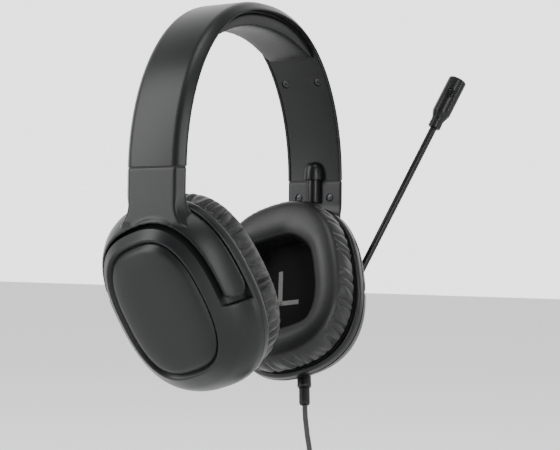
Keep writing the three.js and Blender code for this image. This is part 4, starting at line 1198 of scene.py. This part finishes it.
hood_line = [(4.95, 0.5), (5.9, 0.5), (5.9, 4.6), (5.3, 8.2), (3.4, 10.4), (0.01, 11), (0.01, 9.9),
             (4.0, 8.6), (4.95, 6)]
hood = turned("cable_hood_skin_left", hood_line, (TUBE_X, 0, SEAM_Z), UP, gloss_finish,
              [0.2, 0.4, 2, 2, 2, 0, 0, 1, 1], loop=True)
both_sides(pressed(hood, HOOD_BACK), "cable_hood_skin_{}", "headband", "black_gloss", "cable_hood_{}")
tube = turned("guide_tube_skin_left", [(2.7, -12.4), (4.3, -12.4), (4.3, 5.2), (2.7, 5.2)],
              (TUBE_X, 0, SEAM_Z), UP, gloss_finish, [0.3, 0.6, 0.4, 0.3], loop=True)
both_sides(tube, "guide_tube_skin_{}", "yoke_{}", "black_gloss", "guide_tube_{}")
for label, y in YOKE_SCREWS.items():
    head = screw(f"yoke_screw_{label}_skin_left", (NECK_FACE, y, YOKE_SCREW_Z), (-1, 0, 0), 0.9 + y)
    both_sides(head, f"yoke_screw_{label}_skin_{{}}", "yoke_{}", "black_screw", "yoke_screw_{}_" + label)
print("guide tube", len(tube.data.polygons), "faces, hood", len(hood.data.polygons))

# %% [markdown]
# The boom swings on a hub at the middle of the left cap. Its rod is a stiff tube that ends in the microphone:
# a collar, a curved taper, and a barrel with a slightly domed end. The capsule's port is a small round boss
# with four holes, on the side of the barrel that faces the mouth.
# %% Boom and microphone
HUB = {"u": -13.2, "v": -9.0, "radius": 9.2, "base": 21.4, "top": 27.8, "rod": 24.7}
BOOM_ANGLE = math.radians(18.6)
BOOM_LENGTH = 157.0
MIC_BASE = 125.0
ROD, COLLAR, BARREL = 2.0, 3.6, 5.25
GROOVE = 0.16
PORT_SETBACK = 10.6
PORT, HOLE, HOLE_STEP = 2.35, 0.45, 0.85
hub_at = tilted(HUB["rod"], HUB["u"], HUB["v"])
boom_way = tilted(0, -math.sin(BOOM_ANGLE), math.cos(BOOM_ANGLE)) - tilted(0, 0.0, 0.0)
R, low, high = HUB["radius"], HUB["base"] - HUB["rod"], HUB["top"] - HUB["rod"]
hub_line = [(0, low), (R - 0.6, low), (R, low + 0.8), (R, high - 1.6), (R - 1.8, high - 0.15),
            (R - 3.4, high - 0.15), (R - 3.9, high - 0.6), (R - 6, high - 0.55), (0, high - 0.5)]
hub = turned("boom_hub_drum", hub_line, hub_at, OUTWARD, shell_finish,
             [0, 0.3, 0.4, 1.2, 0.4, 0.3, 0.4, 1, 0], 96)
neck_line = [(0, R - 4), (3.4, R - 4), (3.4, R + 5), (2.8, R + 9), (0, R + 9)]
boot = turned("boom_boot", neck_line, hub_at, boom_way, shell_finish, 0.7)
dress(joined([hub, boot], "boom_hub_skin"), "mic_boom", "black_shell", "boom_hub")
rod = turned("boom_rod_skin", [(0, R + 7), (ROD, R + 7), (ROD, MIC_BASE + 2), (0, MIC_BASE + 2)],
             hub_at, boom_way, gloss_finish, 0.2, 40)
dress(rod, "mic_boom", "black_gloss", "boom_rod")
taper = np.linspace(0, 1, 14)[1:-1]
swell = COLLAR + (BARREL - COLLAR) * ramp(taper, 0, 1)
mic_line = [(0, MIC_BASE), (ROD + 0.1, MIC_BASE), (COLLAR - 0.3, MIC_BASE + 0.1), (COLLAR, MIC_BASE + 0.5),
            (COLLAR, MIC_BASE + 4.0), (COLLAR - GROOVE, MIC_BASE + 4.2), (COLLAR - GROOVE, MIC_BASE + 4.5),
            (COLLAR, MIC_BASE + 4.7)]
mic_line += list(zip(swell, MIC_BASE + 4.8 + 5.6 * taper))
mic_line += [(BARREL, MIC_BASE + 10.6), (BARREL, BOOM_LENGTH - 1.0), (BARREL - 0.75, BOOM_LENGTH - 0.25),
             (BARREL * 0.4, BOOM_LENGTH), (0, BOOM_LENGTH)]
mic = turned("mic_shell_skin", mic_line, hub_at, boom_way, gloss_finish, 0.35, 96)
MOUTH_SIDE = np.array([-0.997, -0.31, 0.0])
port_way = MOUTH_SIDE - boom_way * (MOUTH_SIDE @ boom_way)
port_way /= np.linalg.norm(port_way)
port_at = hub_at + boom_way * (BOOM_LENGTH - PORT_SETBACK)
drill(mic, port_at, port_way, PORT + 0.35, BARREL - 0.7, 8, 0.1, 48)
dress(mic, "mic_boom", "black_gloss", "mic_shell")
port = turned("mic_port", [(0, 3), (PORT, 3), (PORT, BARREL - 0.25), (PORT - 0.45, BARREL), (0, BARREL)],
              port_at, port_way, gloss_finish, 0.3, 48)
right_way = np.cross(boom_way, port_way)
for up in (HOLE_STEP, -HOLE_STEP):
    for across in (-HOLE_STEP, HOLE_STEP):
        drill(port, port_at + right_way * across + boom_way * up, port_way, HOLE, 4.2, 7, 0.05, 20)
dress(port, "mic_boom", "black_gloss", "mic_capsule")
print("microphone tip at", (hub_at + boom_way * BOOM_LENGTH).round(1))

# %% [markdown]
# The volume wheel shows as a ribbed rim at the back of the left cup. Its ribs are one cosine of the angle,
# flattened at the tops. The strain relief is a hard collar in the shell and a rubber sleeve, on a line that
# leans with the cord. Slots for both are cut out of the left housing.
# %% Volume wheel and strain relief
WHEEL = {"u": 27.546, "v": -17.0, "h": 8.4, "radius": 9.0, "thick": 3.6, "ribs": 44}
WHEEL_ROOM, WHEEL_GAP = 0.7, 0.5
OUTLET = np.array([41.462, -13.787, -182.524])
SLEEVE_END = np.array([36.13, -17.48, -196.71])
BORE = 3.95
wheel_at = tilted(WHEEL["h"], WHEEL["u"], WHEEL["v"])


def wheel_grid():
    """A turned rim whose radius dips between ribs by a third of a millimetre."""
    half, rim = WHEEL["thick"] / 2, WHEEL["radius"]
    line = soften([(1.2, -half), (rim - 0.4, -half), (rim, -half + 0.5), (rim, half - 0.5), (rim - 0.4, half),
                   (1.2, half)], [0.1, 0.3, 0.3, 0.3, 0.3, 0.1], 3)
    sides = WHEEL["ribs"] * 8
    grid = spun(line, wheel_at, OUTWARD, sides)
    a = np.linspace(0, 2 * PI, sides, endpoint=False)[None, :, None]
    dip = 0.018 * np.clip(1 - 1.5 * np.cos(a * WHEEL["ribs"]), 0, 1.6)
    dip = dip * ramp(line[:, 0], rim - 1, rim)[:, None, None]
    return grid - (grid - wheel_at) * dip


wheel = surface("volume_wheel_skin", wheel_grid(), rubber_finish, wrap_rows=True)
dress(wheel, "volume_wheel", "soft_rubber", "volume_wheel")
room_half = WHEEL["thick"] / 2 + WHEEL_GAP
drill(left_housing, wheel_at, OUTWARD, WHEEL["radius"] + WHEEL_ROOM, -room_half, room_half, 0.05, 72)
cord_way = (SLEEVE_END - OUTLET) / np.linalg.norm(SLEEVE_END - OUTLET)
drill(left_housing, OUTLET, cord_way, BORE, -6, 8, 0.05, 48)
dress(left_housing, "cup_left", "black_shell", "cup_housing_left")
collar_line = [(0, -2.5), (3.8, -2.5), (3.8, 5.2), (3.1, 6.2), (0, 6.2)]
collar = turned("relief_collar_skin", collar_line, OUTLET, cord_way, gloss_finish, 0.3)
dress(collar, "cup_left", "black_gloss", "relief_collar")
sleeve_line = [(0, 6.3), (2.75, 6.3), (2.9, 6.9), (2.9, 14.6), (2.6, 15.4), (1.5, 15.5), (1.45, 14.8),
               (0, 14.8)]
sleeve = turned("relief_sleeve_skin", sleeve_line, OUTLET, cord_way, rubber_finish, 0.25)
dress(sleeve, "cup_left", "soft_rubber", "relief_sleeve")
print("the left housing has", len(left_housing.data.polygons), "faces after its two cuts")

# %% [markdown]
# The parts inside, and those whose CAD shape is already right, keep it and only take a finish.
# %% Finishes for the carried-over parts
KEPT = {
    "spring_band": steel_finish, "crown_pad_board": inner_finish, "yoke_liner": inner_finish,
    "slider_strip": steel_finish, "cushion_ring": inner_finish, "driver_frame": inner_finish,
    "driver_magnet": screw_finish, "pivot_pin": screw_finish, "volume_control": gloss_finish,
    "circuit_board": board_finish,
}
carried = [(node, finish) for node in bpy.data.objects if "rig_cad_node" in node
           for start, finish in KEPT.items() if node.name.startswith(start)]
for node, finish in carried:
    for place in node.material_slots:
        place.material = finish
print("finishes given to", len(carried), "carried-over parts")

# %% [markdown]
# The stage is a sheet of white paper on the floor and a pale sky that is brighter behind the headset than in
# front of it, so that black plastic keeps its depth. A large softbox behind to the left draws the broad
# highlights, two narrow ones pick out the bevels and edges, and a box above lights the crown.
# %% Stage and light
FLOOR_Z = -342.0
FLOOR_REACH = 6000
SKY_BRIGHT_WAY = (0.829, 0.559, 0.0)


def light(name, place, look_at, size, power):
    """A rectangular area light aimed at a point."""
    data = bpy.data.lights.new(name, "AREA")
    data.shape = "RECTANGLE"
    data.size, data.size_y = size
    data.energy = power
    lamp = bpy.data.objects.new(name, data)
    lamp.location = place
    lamp.rotation_euler = (Vector(place) - Vector(look_at)).to_track_quat("Z", "Y").to_euler()
    bpy.context.scene.collection.objects.link(lamp)


def stage():
    ends = (-FLOOR_REACH, FLOOR_REACH)
    corners = np.array([[[x, y, FLOOR_Z] for x in ends] for y in ends])
    floor = surface("floor", corners, wrap_cols=False)
    paper = Finish("white_paper", Roughness=0.9, Emission_Color=(1, 1, 1), Emission_Strength=0.25)
    paper.set("Base Color", paper.mix(paper.noise(3, 2), (0.86, 0.86, 0.86), (0.9, 0.9, 0.9)))
    floor.data.materials.append(paper.material)


def studio_sky(front, back):
    """The sky's strength follows a direction's share along SKY_BRIGHT_WAY, from front to back."""
    world = bpy.data.worlds.new("studio")
    world.use_nodes = True
    nodes, links = world.node_tree.nodes, world.node_tree.links
    background = nodes["Background"]
    where = nodes.new("ShaderNodeTexCoord")
    share = nodes.new("ShaderNodeVectorMath")
    share.operation = "DOT_PRODUCT"
    share.inputs[1].default_value = SKY_BRIGHT_WAY
    ramped = nodes.new("ShaderNodeMapRange")
    ramped.interpolation_type = "SMOOTHSTEP"
    for socket, value in (("From Min", -0.1), ("From Max", 0.9), ("To Min", front), ("To Max", back)):
        ramped.inputs[socket].default_value = value
    links.new(where.outputs["Generated"], share.inputs[0])
    links.new(share.outputs["Value"], ramped.inputs["Value"])
    links.new(ramped.outputs["Result"], background.inputs["Strength"])
    background.inputs["Color"].default_value = (1, 1, 1, 1)
    bpy.context.scene.world = world


stage()
studio_sky(0.3, 2.6)
light("top_box", (-0.4, -0.3, 1.0), look_at=(0, 0, -0.08), size=(0.7, 0.5), power=9)
light("rear_left_box", (-0.85, 0.72, 0.35), look_at=(0, 0, -0.1), size=(0.45, 1.1), power=18)
light("front_left_strip", (-0.68, -0.98, 0.1), look_at=(0, 0, -0.1), size=(0.28, 0.8), power=11)
light("right_strip", (0.3, -0.95, 0.2), look_at=(0, 0, -0.1), size=(0.12, 0.9), power=5)
